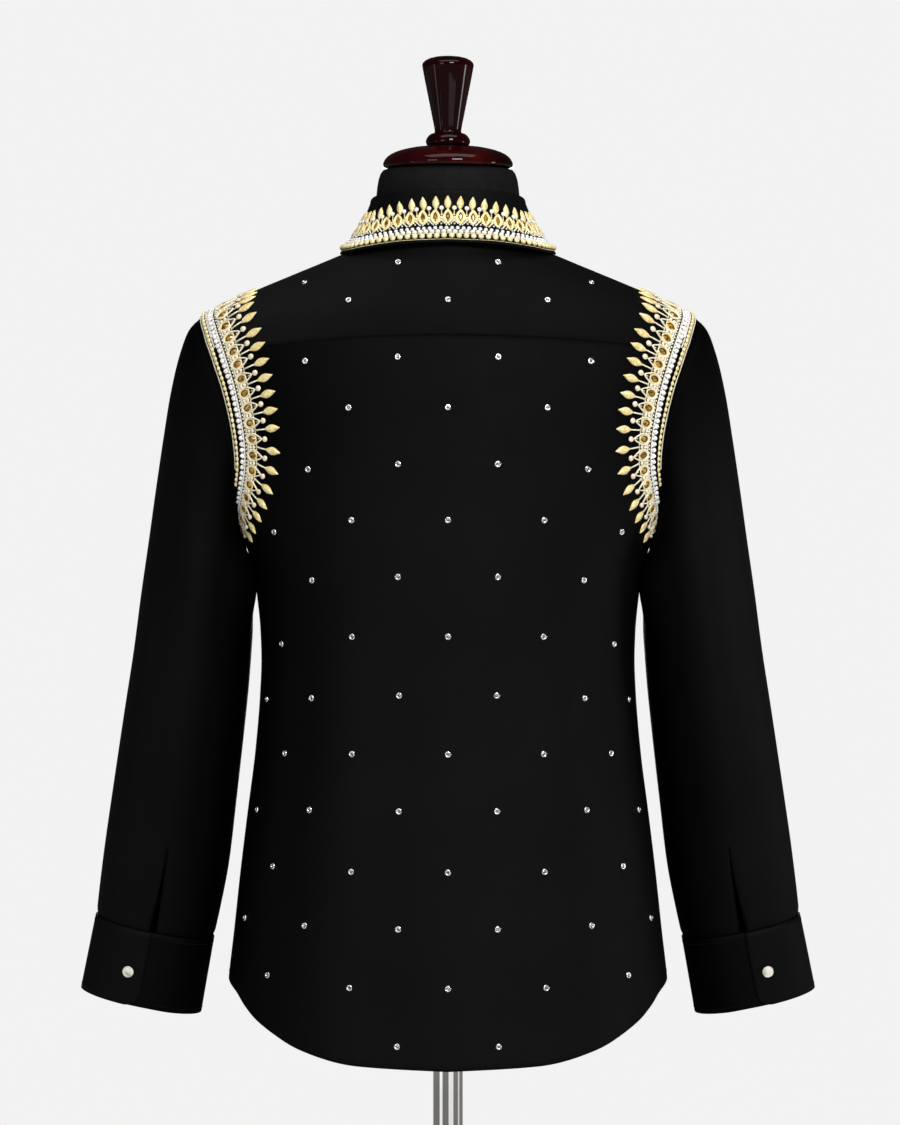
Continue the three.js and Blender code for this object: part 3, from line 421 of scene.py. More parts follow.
def piece(name, bm, material, replaces=(), smooth=True):
    """Turns a bmesh in millimetres into a piece of the part, in metres."""
    bmesh.ops.scale(bm, vec=(MM, MM, MM), verts=bm.verts)
    for face in bm.faces:
        face.smooth = smooth
    mesh = bpy.data.meshes.new(name)
    bm.to_mesh(mesh)
    bm.free()
    obj = bpy.data.objects.new(name, mesh)
    bpy.context.scene.collection.objects.link(obj)
    mesh.materials.append(material)
    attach(obj, "root")
    if replaces:
        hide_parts(*replaces)
    return obj


def grid(columns, rows, place, size, weld=False):
    """A sheet of cells laid on place(u, v); its UV map is in metres along the cloth."""
    bm = bmesh.new()
    bmesh.ops.create_grid(bm, x_segments=columns, y_segments=rows, size=0.5)
    u = np.array([v.co.x for v in bm.verts]) + 0.5
    v = np.array([v.co.y for v in bm.verts]) + 0.5
    for vert, at in zip(bm.verts, place(u, v)):
        vert.co = at
    layer = bm.loops.layers.uv.new("cloth")
    for face in bm.faces:
        for loop in face.loops:
            i = loop.vert.index
            loop[layer].uv = (u[i] * size[0], v[i] * size[1])
    if weld:
        bmesh.ops.remove_doubles(bm, verts=bm.verts, dist=0.02)
    return bm


def mirrored(bm):
    bmesh.ops.scale(bm, vec=(-1, 1, 1), verts=bm.verts)
    bmesh.ops.reverse_faces(bm, faces=bm.faces)
    return bm


def thicken(obj, thickness):
    wall = obj.modifiers.new("wall", "SOLIDIFY")
    wall.thickness, wall.offset = thickness * MM, -1
    wall.use_even_offset = False


def rotate(bm, angle, axis, verts=None):
    bmesh.ops.rotate(bm, cent=(0, 0, 0), matrix=Matrix.Rotation(angle, 3, axis), verts=verts or bm.verts)


def move(bm, x, y, z, verts=None):
    bmesh.ops.translate(bm, vec=(x, y, z), verts=verts or bm.verts)


def turned(profile, steps):
    """A profile of (radius, level) points turned about the upright axis."""
    bm = bmesh.new()
    verts = [bm.verts.new((r, 0, z)) for r, z in profile]
    edges = [bm.edges.new(pair) for pair in zip(verts, verts[1:])]
    bmesh.ops.spin(
        bm, geom=verts + edges, cent=(0, 0, 0), axis=(0, 0, 1), angle=math.tau, steps=steps, use_merge=True
    )
    bmesh.ops.remove_doubles(bm, verts=bm.verts, dist=0.001)
    bmesh.ops.recalc_face_normals(bm, faces=bm.faces)
    return bm


def rounded(obj, width, segments=3):
    edge = obj.modifiers.new("edge", "BEVEL")
    edge.width, edge.segments, edge.limit_method = width * MM, segments, "ANGLE"
    edge.angle_limit = math.radians(25)
    edge.harden_normals = False


def as_unit(bm, smooth=True):
    for face in bm.faces:
        face.smooth = smooth
    mesh = bpy.data.meshes.new("unit")
    bm.to_mesh(mesh)
    bm.free()
    return mesh


def placing(x, y, z, at):
    """The matrix that sets a small piece with these axes at a point."""
    m = np.eye(4)
    m[:3, 0], m[:3, 1], m[:3, 2], m[:3, 3] = x, y, z, at
    return Matrix(m.tolist())


def frames(place, along, across, height, turn, stretch):
    """Matrices that set small pieces on a surface: x along the border, y across it, z out."""
    along, across, height = np.broadcast_arrays(along, across, float(height))
    at = place(along, across, height)
    x = unit(place(along + 0.5, across, height) - place(along - 0.5, across, height))
    y = place(along, across + 0.5, height) - place(along, across - 0.5, height)
    z = unit(np.cross(x, y))
    y = np.cross(z, x)
    if turn is not None:
        c, s = np.cos(turn)[..., None], np.sin(turn)[..., None]
        x, y = x * c + y * s, y * c - x * s
    return [placing(a * k[0], b * k[1], n * k[2], p) for p, a, b, n, k in zip(at, x, y, z, stretch)]


def strew(bm, mesh, places):
    """Adds a copy of a small piece at every place."""
    for place in places:
        one = mesh.copy()
        one.transform(place)
        bm.from_mesh(one)
        bpy.data.meshes.remove(one)
    return bm


# ---- small pieces that repeat --------------------------------------------------------------------


def bead_unit(radius, height, rings, around, shift=0.0, stretch=1.0):
    bm = bmesh.new()
    bmesh.ops.create_uvsphere(bm, u_segments=around, v_segments=2 * rings, radius=radius)
    bmesh.ops.scale(bm, vec=(stretch, 1, height / radius / 2), verts=bm.verts)
    move(bm, 0, shift, height / 2)
    return as_unit(bm)


def rhinestone_unit(radius, height, around=8):
    """A cut stone: a sloping crown round a flat table."""
    bm = bmesh.new()
    bmesh.ops.create_cone(
        bm, cap_ends=True, segments=around, radius1=radius, radius2=radius * 0.5, depth=height
    )
    move(bm, 0, 0, height / 2)
    return as_unit(bm, smooth=False)


LEAF_HALF = table(
    "v half",
    [
        (0, 0.12), (0.1, 0.38), (0.25, 0.76), (0.42, 1), (0.58, 0.94), (0.72, 0.7), (0.85, 0.4), (0.94, 0.2),
        (1, 0.06),
    ],
)
leaf_half = curve(LEAF_HALF["v"], LEAF_HALF["half"])
LEAF_STITCHES = 7


def corners(geometry):
    return [g for g in geometry if isinstance(g, bmesh.types.BMVert)]


def leaf_unit(length, half, height, root):
    """A satin-stitched leaf that starts root along y, with a low rib and a slant to its stitches."""
    bm = bmesh.new()
    bmesh.ops.create_grid(bm, x_segments=6, y_segments=22, size=0.5)
    for vert in bm.verts:
        u, v = vert.co.x * 2, vert.co.y + 0.5
        dome = max(0.0, 1 - abs(u) ** 2.2) ** 0.5
        rib = 0.22 * math.exp(-((u / 0.2) ** 2))
        stitch = 0.11 * math.cos(math.tau * (LEAF_STITCHES * v - 0.8 * abs(u)))
        ends = min(1.0, 5 * v + 0.2, 4 * (1 - v) + 0.15)
        level = height * ends * (dome * (0.8 + stitch) + rib) + 0.05
        vert.co = (u * half * float(leaf_half(v)), root + v * length, level)
    edges = [e for e in bm.edges if e.is_boundary]
    skirt = bmesh.ops.extrude_edge_only(bm, edges=edges)["geom"]
    move(bm, 0, 0, -0.5, corners(skirt))
    bmesh.ops.recalc_face_normals(bm, faces=bm.faces)
    return as_unit(bm)


def almond_unit(length, half, height, point):
    """A faceted stone, centred, its long way along y and pointed there as far as point says."""
    bm = bmesh.new()
    bmesh.ops.create_circle(bm, cap_ends=True, segments=10, radius=1)
    for vert in bm.verts:
        x, y = vert.co.x, vert.co.y
        vert.co = (x * half * (1 - point * y * y), y * length / 2, 0)
    top = corners(bmesh.ops.extrude_face_region(bm, geom=bm.faces[:])["geom"])
    bmesh.ops.scale(bm, vec=(0.5, 0.55, 1), verts=top)
    move(bm, 0, 0, height, top)
    bmesh.ops.recalc_face_normals(bm, faces=bm.faces)
    return as_unit(bm, smooth=False)


def frame_unit(length, half, thick, point, reach=0.0):
    """A corded outline round a stone; reach draws its outer end out into a longer point."""
    bm = bmesh.new()
    ring = bmesh.ops.create_circle(bm, segments=6, radius=thick)["verts"]
    rotate(bm, math.pi / 2, "X", ring)
    move(bm, 1, 0, 0, ring)
    geom = bm.verts[:] + bm.edges[:]
    bmesh.ops.spin(bm, geom=geom, cent=(0, 0, 0), axis=(0, 0, 1), angle=math.tau, steps=20, use_merge=True)
    bmesh.ops.remove_doubles(bm, verts=bm.verts, dist=0.0001)
    for vert in bm.verts:
        x, y, z = vert.co
        r = math.hypot(x, y)
        cx, cy, off = x / r, y / r, r - 1
        wide = half * (1 - point * cy * cy)
        far = length / 2 + (reach if cy > 0 else 0) * cy * cy
        vert.co = (cx * (wide + off), cy * (far + off), z * 1.1 + thick)
    bmesh.ops.recalc_face_normals(bm, faces=bm.faces)
    return as_unit(bm)


def stem_unit(length, radius):
    """A thin corded bar along y."""
    bm = bmesh.new()
    bmesh.ops.create_cone(bm, cap_ends=True, segments=6, radius1=radius, radius2=radius * 0.8, depth=length)
    rotate(bm, -math.pi / 2, "X")
    move(bm, 0, length / 2, radius)
    return as_unit(bm)


def purl_unit(length, radius):
    """One slanting turn of a twisted cord, its long way along x."""
    bm = bmesh.new()
    bmesh.ops.create_uvsphere(bm, u_segments=6, v_segments=4, radius=1)
    rotate(bm, math.pi / 2, "Y")
    bmesh.ops.scale(bm, vec=(length / 2, radius, radius), verts=bm.verts)
    rotate(bm, 0.6, "Z")
    move(bm, 0, 0, radius)
    return as_unit(bm)


def setting_unit():
    """The claw ring of a sewn-on stone, 6 mm across."""
    return as_unit(turned(((3.0, 0), (3.05, 0.8), (2.5, 1.5), (1.55, 1.25), (1.2, 0.7)), 14))


# ---- materials -----------------------------------------------------------------------------------


class Nodes:
    """A material's node tree, built by name."""

    def __init__(self, name):
        self.material = bpy.data.materials.new(name)
        self.material.use_nodes = True
        self.tree = self.material.node_tree
        self.shader = self.tree.nodes["Principled BSDF"]
        self.coords = self.tree.nodes.new("ShaderNodeTexCoord")

    def add(self, kind, **settings):
        node = self.tree.nodes.new("ShaderNode" + kind)
        for key, value in settings.items():
            setattr(node, key, value)
        return node

    def link(self, a, b):
        self.tree.links.new(a, b)

    def set(self, **values):
        for key, value in values.items():
            self.shader.inputs[key.replace("_", " ")].default_value = value

    def noise(self, scale, detail=3.0, stretch=None):
        node = self.add("TexNoise")
        node.inputs["Scale"].default_value = scale
        node.inputs["Detail"].default_value = detail
        source = self.coords.outputs["Object"]
        if stretch:
            mapping = self.add("Mapping")
            mapping.inputs["Scale"].default_value = stretch
            self.link(source, mapping.inputs["Vector"])
            source = mapping.outputs["Vector"]
        self.link(source, node.inputs["Vector"])
        return node.outputs["Fac"]

    def ramp(self, fac, *stops):
        node = self.add("ValToRGB")
        for i, (position, colour) in enumerate(stops):
            stop = node.color_ramp.elements[i] if i < 2 else node.color_ramp.elements.new(position)
            stop.position, stop.color = position, (*colour, 1)
        self.link(fac, node.inputs["Fac"])
        return node.outputs["Color"]

    def wave(self, scale, direction):
        node = self.add("TexWave", bands_direction=direction)
        node.inputs["Scale"].default_value = scale
        node.inputs["Distortion"].default_value = 0.4
        self.link(self.coords.outputs["UV"], node.inputs["Vector"])
        return node.outputs["Fac"]

    def maths(self, operation, a, b):
        node = self.add("Math", operation=operation)
        for socket, value in zip(node.inputs, (a, b)):
            if isinstance(value, (int, float)):
                socket.default_value = value
            else:
                self.link(value, socket)
        return node.outputs["Value"]

    def bump(self, height, distance, strength):
        node = self.add("Bump")
        node.inputs["Distance"].default_value = distance
        node.inputs["Strength"].default_value = strength
        self.link(height, node.inputs["Height"])
        if self.shader.inputs["Normal"].is_linked:
            self.link(self.shader.inputs["Normal"].links[0].from_socket, node.inputs["Normal"])
        self.link(node.outputs["Normal"], self.shader.inputs["Normal"])

    def colour(self, socket):
        self.link(socket, self.shader.inputs["Base Color"])

    def roughness(self, noise, span, base):
        """Roughness from base up to base + span, as the noise goes from 0 to 1."""
        value = self.maths("ADD", self.maths("MULTIPLY", noise, span), base)
        self.link(value, self.shader.inputs["Roughness"])


def shirting(name, dark, light, around=None, along=None):
    """Plain-woven cloth; around and along multiply its colour and its specular level by ramps over the two UV
    axes, given in metres: painted shade, and painted light where a stop is above 1.
    """
    m = Nodes(name)
    m.set(Roughness=0.6, Specular_IOR_Level=0.06)
    cloudy = m.noise(9, detail=2)
    colour = m.ramp(cloudy, (0.3, dark), (0.7, light))
    painted_shade_shine = 1.0
    split = m.add("SeparateXYZ")
    m.link(m.coords.outputs["UV"], split.inputs["Vector"])
    for axis, painted_shading in (("X", around), ("Y", along)):
        if not painted_shading:
            continue
        width, stops = painted_shading
        # painted shade and painted light: a multiplier on the colour over one UV axis
        depth = m.ramp(m.maths("DIVIDE", split.outputs[axis], width), *((at, (k, k, k)) for at, k in stops))
        mixed = m.add("MixRGB", blend_type="MULTIPLY")
        mixed.inputs["Fac"].default_value = 1
        m.link(colour, mixed.inputs["Color1"])
        m.link(depth, mixed.inputs["Color2"])
        colour = mixed.outputs["Color"]
        painted_shade_shine = m.maths("MULTIPLY", depth, painted_shade_shine)
    # the painted shade also lowers the specular level
    if around or along:
        m.link(m.maths("MULTIPLY", painted_shade_shine, 0.06), m.shader.inputs["Specular IOR Level"])
    m.colour(colour)
    warp = m.wave(420, "X")
    weft = m.wave(420, "Y")
    m.bump(m.maths("MULTIPLY", warp, weft), 0.00012, 0.35)
    m.bump(m.noise(60, detail=4), 0.0006, 0.10)
    m.roughness(m.noise(40, detail=4), 0.18, 0.52)
    return m.material


def metalwork(name, dark, light, roughness):
    m = Nodes(name)
    m.set(Metallic=1.0, Specular_IOR_Level=0.5)
    m.colour(m.ramp(m.noise(260, detail=3), (0.32, dark), (0.68, light)))
    m.roughness(m.noise(500, detail=2), 0.18, roughness - 0.09)
    m.bump(m.noise(900, detail=3), 0.0002, 0.35)
    return m.material


def purl_thread(name, dark, light, metallic=0.1):
    m = Nodes(name)
    m.set(Metallic=metallic, Sheen_Weight=0.25, Specular_IOR_Level=0.5)
    m.colour(m.ramp(m.noise(420, detail=2), (0.35, dark), (0.65, light)))
    m.roughness(m.noise(700), 0.2, 0.28)
    m.bump(m.noise(1400, detail=2), 0.00025, 0.4)
    return m.material


def cut_stone(name, dark, light, roughness=0.08, coat=1.0):
    m = Nodes(name)
    m.set(Coat_Weight=coat, Coat_Roughness=0.04, Specular_IOR_Level=0.8)
    m.colour(m.ramp(m.noise(330, detail=1), (0.38, dark), (0.62, light)))
    m.roughness(m.noise(150), 0.08, roughness)
    return m.material


def lacquered_cherry():
    m = Nodes("lacquered_cherry")
    m.set(Coat_Weight=0.34, Coat_Roughness=0.03, Specular_IOR_Level=0.0)
    grain = m.noise(28, detail=6, stretch=(1, 1, 0.12))
    reds = (0.3, (0.005, 0.0003, 0.0004)), (0.6, (0.020, 0.0010, 0.0012)), (0.8, (0.045, 0.004, 0.003))
    m.colour(m.ramp(grain, *reds))
    m.roughness(grain, 0.14, 0.12)
    m.bump(m.noise(120, detail=4, stretch=(1, 1, 0.1)), 0.0001, 0.12)
    return m.material


def bright_chrome(name, roughness=0.06):
    m = Nodes(name)
    m.set(Metallic=1.0)
    m.colour(m.ramp(m.noise(14, detail=3), (0.3, (0.56, 0.55, 0.54)), (0.7, (0.66, 0.65, 0.63))))
    m.roughness(m.noise(240, detail=2, stretch=(1, 1, 0.05)), 0.06, roughness)
    return m.material


def knitted_form(name):
    m = Nodes(name)
    m.set(Specular_IOR_Level=0.08)
    m.colour(m.ramp(m.noise(120, detail=4), (0.3, (0.004, 0.004, 0.0042)), (0.7, (0.0068, 0.0068, 0.007))))
    m.bump(m.noise(1500, detail=2, stretch=(1, 1, 0.5)), 0.0003, 0.4)
    m.roughness(m.noise(200), 0.2, 0.62)
    return m.material


def shell_button(name):
    m = Nodes(name)
    m.set(Coat_Weight=0.6, Coat_Roughness=0.08, Specular_IOR_Level=0.6)
    pearls = (0.3, (0.42, 0.38, 0.3)), (0.55, (0.8, 0.78, 0.72)), (0.75, (0.9, 0.84, 0.68))
    m.colour(m.ramp(m.noise(180, detail=3), *pearls))
    m.roughness(m.noise(90), 0.15, 0.12)
    m.bump(m.noise(300, detail=2), 0.0001, 0.2)
    return m.material


BODY_BLACKS = (0.0024, 0.0024, 0.0025), (0.0033, 0.0033, 0.0034)
# The sleeves and cuffs take a darker copy of the body's black: painted shade.
SLEEVE_BLACKS_PAINTED_SHADE = (0.0018, 0.0018, 0.0019), (0.0026, 0.0026, 0.0027)
BLACK = shirting("black_shirting", *BODY_BLACKS)
# Painted shade: the back's black darkens towards both sides and towards its upper part.
BLACK_BACK_PAINTED_SHADE = shirting(
    "black_shirting_back_painted_shade", *BODY_BLACKS,
    (0.46, ((0.0, 0.3), (0.08, 0.42), (0.22, 0.72), (0.36, 1.0), (0.8, 0.95), (1.0, 0.5))),
    (0.66, ((0.0, 1.0), (0.7, 1.0), (0.9, 0.74), (1.0, 0.7))),
)
# Painted light on the yoke's left shoulder; painted shade across its middle and right side and along its lower
# edge.
BLACK_YOKE_PAINTED_LIGHT_AND_SHADE = shirting(
    "black_shirting_yoke_painted_light_and_shade", *BODY_BLACKS,
    (0.62, ((0.0, 1.9), (0.3, 1.5), (0.44, 0.85), (0.6, 0.8), (1.0, 0.95))),
    (0.11, ((0.0, 0.74), (0.35, 1.0), (1.0, 1.05))),
)
# Painted shade on the sleeve's inner side, towards the body, and towards its top; slight painted light on its
# outer side.
BLACK_SLEEVE_PAINTED_LIGHT_AND_SHADE = shirting(
    "black_shirting_sleeve_painted_light_and_shade", *SLEEVE_BLACKS_PAINTED_SHADE,
    (0.36, (
        (0.0, 0.85), (0.07, 0.52), (0.14, 0.27), (0.21, 0.08), (0.45, 0.2), (0.7, 1.1), (0.9, 1.1), (1.0, 0.9)
    )),
    (0.58, ((0.0, 1.0), (0.62, 1.0), (0.8, 0.65), (0.93, 0.38), (1.0, 0.3))),
)
# Painted shade on the cuff's inner side, towards the body; slight painted light on its outer side.
BLACK_CUFF_PAINTED_LIGHT_AND_SHADE = shirting(
    "black_shirting_cuff_painted_light_and_shade", *SLEEVE_BLACKS_PAINTED_SHADE,
    (0.28, (
        (0.0, 0.75), (0.07, 0.72), (0.14, 0.42), (0.2, 0.2), (0.28, 0.05), (0.5, 0.15), (0.72, 1.1), (1.0, 1.0)
    )),
)
THREAD = shirting("black_sewing_thread", (0.004, 0.004, 0.0042), (0.007, 0.007, 0.0073))
GOLD = purl_thread("gold_leaf_thread", (0.84, 0.61, 0.19), (1.0, 0.91, 0.52), 0.12)
GOLD_BEAD = purl_thread("gold_bead", (0.87, 0.67, 0.24), (1.0, 0.94, 0.62), 0.12)
CREAM = purl_thread("cream_purl", (0.92, 0.80, 0.52), (1.0, 0.96, 0.80))
CREAM_WHITE = purl_thread("white_purl", (0.94, 0.90, 0.80), (1.0, 1.0, 0.95))
ROSE_CREAM = purl_thread("rose_cream_purl", (0.82, 0.64, 0.42), (1.0, 0.92, 0.72))
CRYSTAL = cut_stone("clear_rhinestone", (0.92, 0.89, 0.82), (1.0, 1.0, 0.97))
AMBER = cut_stone("amber_stone", (0.06, 0.024, 0.003), (0.50, 0.27, 0.04), 0.2, coat=0.3)
SILVER = metalwork("silver_setting", (0.60, 0.60, 0.60), (0.95, 0.95, 0.95), 0.22)
STONE_HEART = cut_stone("dark_stone_heart", (0.02, 0.02, 0.022), (0.30, 0.30, 0.30), 0.05)
CHERRY = lacquered_cherry()
CHROME = bright_chrome("pole_chrome")
BASE_CHROME = bright_chrome("base_chrome", 0.12)
FORM_CLOTH = knitted_form("black_form_cloth")
SHELL = shell_button("button_shell")

# ---- the cloth -----------------------------------------------------------------------------------

SIDE_GAP = 0.08


def back_place(u, v):
    split = 0.68
    t = np.clip(v / split, 0, 1)
    lower_angle = lerp(SIDE_GAP, 180 - SIDE_GAP, u)
    lower_z = lerp(hem_z(lower_angle), UNDERARM_Z, t)
    s = np.clip((v - split) / (1 - split), 0, 1)
    corner_z = float(yoke_back_z(YOKE_CORNER)) - 0.05
    level = lerp(UNDERARM_Z, corner_z, s)
    start = np.maximum(armhole_angle(level), SIDE_GAP)
    upper_angle = lerp(start, 180 - start, u)
    upper_z = level + (yoke_back_z(upper_angle) - 0.05 - corner_z) * s**3
    low = v <= split
    return body(np.where(low, lower_angle, upper_angle), np.where(low, lower_z, upper_z))


def yoke_place(u, v):
    angle = lerp(YOKE_FRONT_ANGLE + SIDE_GAP, 180 - YOKE_FRONT_ANGLE - SIDE_GAP, u)
    side = left_angle(angle)
    low = np.where(side < YOKE_CORNER, armhole_top_z(side), yoke_back_z(side) + 0.05)
    return body(angle, lerp(low, neck_seam_z(angle), v))


def front_spot(share, v, lap):
    """Where a front's point lies: share 0 is its side or armhole edge, 1 its overlapped edge."""
    first, second = 0.66, 0.9
    t = np.clip(v / first, 0, 1)
    angle0 = lerp(-SIDE_GAP, centre_angle(UNDERARM_Z, lap), share)
    z0 = lerp(hem_z(angle0), UNDERARM_Z, t)
    angle0 = lerp(-SIDE_GAP, centre_angle(z0, lap), share)
    s = np.clip((v - first) / (second - first), 0, 1)
    z1 = lerp(UNDERARM_Z, FRONT_CORNER_Z, s)
    start1 = -np.maximum(armhole_angle(z1), SIDE_GAP)
    angle1 = lerp(start1, centre_angle(z1, lap), share)
    r = np.clip((v - second) / (1 - second), 0, 1)
    edge = YOKE_FRONT_ANGLE - SIDE_GAP
    flat = lerp(edge, centre_angle(FRONT_CORNER_Z, lap), share)
    z2 = lerp(FRONT_CORNER_Z, neck_seam_z(flat), r)
    angle2 = lerp(edge, centre_angle(z2, lap), share)
    low, mid = v <= first, v <= second
    return np.where(low, angle0, np.where(mid, angle1, angle2)), np.where(low, z0, np.where(mid, z1, z2))


def front_place(lap_out):
    def place(u, v):
        angle, z = front_spot(1 - u, v, -PLACKET_HALF)
        x = BODY["half"](z) * np.cos(np.radians(angle))
        return body(angle, z, lap_out * smoothstep(30, PLACKET_HALF, x))

    return place


def placket_place(u, v):
    z = lerp(hem_z(np.array(-90.0)), neck_seam_z(np.array(-90.0)) - 1.6, v)
    x = lerp(-PLACKET_HALF + 0.4, PLACKET_HALF - 0.4, u)
    return body(centre_angle(z, x), z, 1.3)


STAND_LAP = 12


def stand_place(u, v):
    angle = lerp(-90 - STAND_LAP, 270 + STAND_LAP, u)
    under = -LAP_DROP * smoothstep(246, 258, angle)
    low = body(angle, neck_seam_z(angle))
    plan = unit(low * (1, 1, 0))
    low = low + (0, 0, 0.5)
    high = fold_point(angle, 0, collar_fold_z(angle) - 0.6)
    return lerp(low, high, v[..., None]) + plan * under[..., None]


FALL_END = -86


ROLL_START = 0.72


def collar_place(u, v):
    angle = lerp(FALL_END, 180 - FALL_END, u)
    low = fall(angle, lerp(1, FALL_ROOT, np.clip(v / ROLL_START, 0, 1)))
    k = np.clip((v - ROLL_START) / (1 - ROLL_START), 0, 1) * (len(ROLL["out"]) - 1)
    roll = curves(ROLL)
    high = fold_point(angle, roll["out"](k), collar_fold_z(angle) + roll["up"](k))
    return np.where((v <= ROLL_START)[..., None], low, high)


def sleeve_place(u, v):
    ring = LAST_RING * (1 - v)
    edge = slit_angle(ring)
    angle = lerp(edge - 360 + SLIT_SPREAD * slit_open(ring), edge, u)
    return sleeve(angle, ring, -1.5 * smoothstep(LAST_RING - 0.35, LAST_RING, ring))


CUFF_START = CUFF_EDGE_ANGLE - 360 - CUFF_LAP_ANGLE


CUFF_DEPTH, CUFF_RADIUS, CUFF_CORNER = 70, 52, 13
CUFF_LIFT_LIMIT = 0.185


def cuff_place(u, v):
    """The cuff's end at CUFF_EDGE_ANGLE is rounded at its lower corner; its other end is not."""
    angle = lerp(CUFF_START, CUFF_EDGE_ANGLE, u**0.96)
    arc = (CUFF_EDGE_ANGLE - angle) * math.radians(1) * CUFF_RADIUS
    t = np.clip(1 - arc / CUFF_CORNER, 0, 1)
    lift = CUFF_CORNER * (1 - np.sqrt(1 - np.minimum(t, 0.9999) ** 2)) / CUFF_DEPTH
    ring = np.clip(2 * (1 - v), 0, 2)
    low = 2 - 2 * np.minimum(lift, CUFF_LIFT_LIMIT)
    return cuff(angle, np.minimum(ring, low + (ring - 2) * 0.02))


def cloth(name, node, bm, material=None, wall=CLOTH):
    nodes = [node] if isinstance(node, str) else node
    obj = piece(name, bm, material or BLACK, nodes)
    thicken(obj, wall)


# ---- the form and the stand ----------------------------------------------------------------------

FORM_SHOULDER = table("z x", [(1083.5, 178), (1150, 182), (1200, 188), (1250, 202), (1300, 218)])
FORM_NECK = table(
    "z half back front",
    [
        (1390, 67.6, 62.2, 60), (1402, 67.2, 62.4, 61), (1413, 66.9, 62.4, 61.6), (1421, 66.1, 62, 61.6),
        (1428, 64.9, 61.2, 61.2), (1433, 63.2, 59.8, 60), (1436.4, 60.6, 57.4, 57.8),
        (1437.8, 57, 54, 54.4),
    ],
)
FORM_LEVELS = (
    FORM_BOTTOM_Z, 718, 760, 810, 860, 900, 940, 979, 1010, 1035, 1060, 1083, 1110, 1140, 1170, 1195, 1220,
    1245,
)
shoulder_x = curves(FORM_SHOULDER, "z")["x"]


def form_rings(angle):
    """The form's level rings, then those that follow the shoulder, then the neck."""
    rings = []
    a = np.radians(angle)
    back_side = np.sin(a) >= 0

    def ring(half, back, front, z):
        rings.append(points(half * np.cos(a), np.where(back_side, back, front) * np.sin(a), z))

    for z in FORM_LEVELS:
        level = np.array(float(z))
        half = shoulder_x(level) if z > UNDERARM_Z - 1 else BODY["half"](level) - 9
        shrink = 4 if z == FORM_BOTTOM_Z else 0
        ring(half - shrink, BODY["back"](level) - 9 - shrink, BODY["front"](level) - 9 - shrink, z)
    side = left_angle(angle)
    low = np.where(side < YOKE_CORNER, armhole_top_z(side), yoke_back_z(side))
    low = np.where(side < YOKE_FRONT_ANGLE, FRONT_CORNER_Z, low)
    for t in (0, 0.12, 0.25, 0.37, 0.5, 0.62, 0.75, 0.87, 1):
        z = lerp(low, neck_seam_z(angle), t)
        seat = lerp(6 + 6 * t, CLOTH + 1.1 + 1.6 * t**4, smoothstep(-70, YOKE_FRONT_ANGLE, side))
        rings.append(plain_body(angle, z) - body_normal(angle, z) * seat[..., None])
    for row in rows_of(FORM_NECK):
        ring(**row)
    return np.stack(rings)


def form_body():
    columns = 96
    angle = np.linspace(0, 360, columns, endpoint=False)
    rings = form_rings(angle)
    bm = bmesh.new()
    edges = []
    for ring in rings:
        loop = bmesh.ops.create_circle(bm, segments=columns, radius=1)["verts"]
        for vert, at in zip(loop, ring):
            vert.co = at
        edges.append([bm.edges.get((a, b)) for a, b in zip(loop, loop[1:] + loop[:1])])
    for low, high in zip(edges, edges[1:]):
        bmesh.ops.bridge_loops(bm, edges=low + high)
    for end in (edges[0], edges[-1]):
        bmesh.ops.contextual_create(bm, geom=end)
    bmesh.ops.recalc_face_normals(bm, faces=bm.faces)
    return bm


CAP_PROFILE = [
    (0, 1438.3), (40, 1438.3), (58.5, 1438.3), (60.2, 1439), (60.9, 1440.8), (60.6, 1443.4), (59.4, 1446),
    (57.2, 1448.8), (54, 1451.2), (50, 1453.2), (45, 1455), (39, 1456.5), (33, 1457.7), (26, 1458.5),
    (18, 1458.8), (0, 1458.8),
]
FINIAL_PROFILE = [
    (0, 1459.1), (18.2, 1459.1), (19.8, 1459.8), (20.7, 1461.6), (20.8, 1463.6), (20, 1466.4), (18.2, 1469),
    (15.8, 1470.7), (13.4, 1471.3), (12.5, 1472), (12.4, 1473.6), (13.3, 1478), (15.1, 1487.5), (17.5, 1500),
    (20, 1512.5), (22.5, 1525.5), (24, 1533.6), (24.1, 1535.4), (23.4, 1537.2), (21.4, 1539.2), (17.5, 1541.2),
    (12, 1542.6), (6, 1543.3), (0, 1543.4),
]
POLE_LEVELS = (14.3, 15.6, 16.4, 712.6, 713.4, 714.7)
POLE_PROFILE = [(0, POLE_LEVELS[0]), *((POLE_RADIUS, z) for z in POLE_LEVELS), (0, POLE_LEVELS[-1])]
BASE_PROFILE = [
    (0, 0), (BASE_RADIUS - 3, 0), (BASE_RADIUS - 0.8, 1), (BASE_RADIUS, 3), (BASE_RADIUS - 0.6, 6),
    (BASE_RADIUS - 3, 8.6), (BASE_RADIUS - 12, 10.6), (120, 12.4), (60, 14), (36, 15), (30, 17), (27, 21),
    (25, 34), (24, 60), (23.4, 64.6), (21.6, 66), (14.1, 66), (14.1, 14), (0, 14),
]
FLANGE_PROFILE = [
    (14.1, 685), (19, 685), (20.4, 686.4), (22, 704), (26, 708.6), (40, 710.4), (57, 711.2), (60, 712.6),
    (60, 714.7), (14.1, 714.7), (14.1, 685),
]


# ---- the beaded borders --------------------------------------------------------------------------


def run_of(point_at, start, end):
    """Arc length along a line of points, and the parameter at a length."""
    at = np.linspace(start, end, 400)
    p = point_at(at)
    length = np.concatenate([[0], np.cumsum(np.linalg.norm(np.diff(p, axis=0), axis=1))])
    return length[-1], lambda s: np.interp(s, length, at)


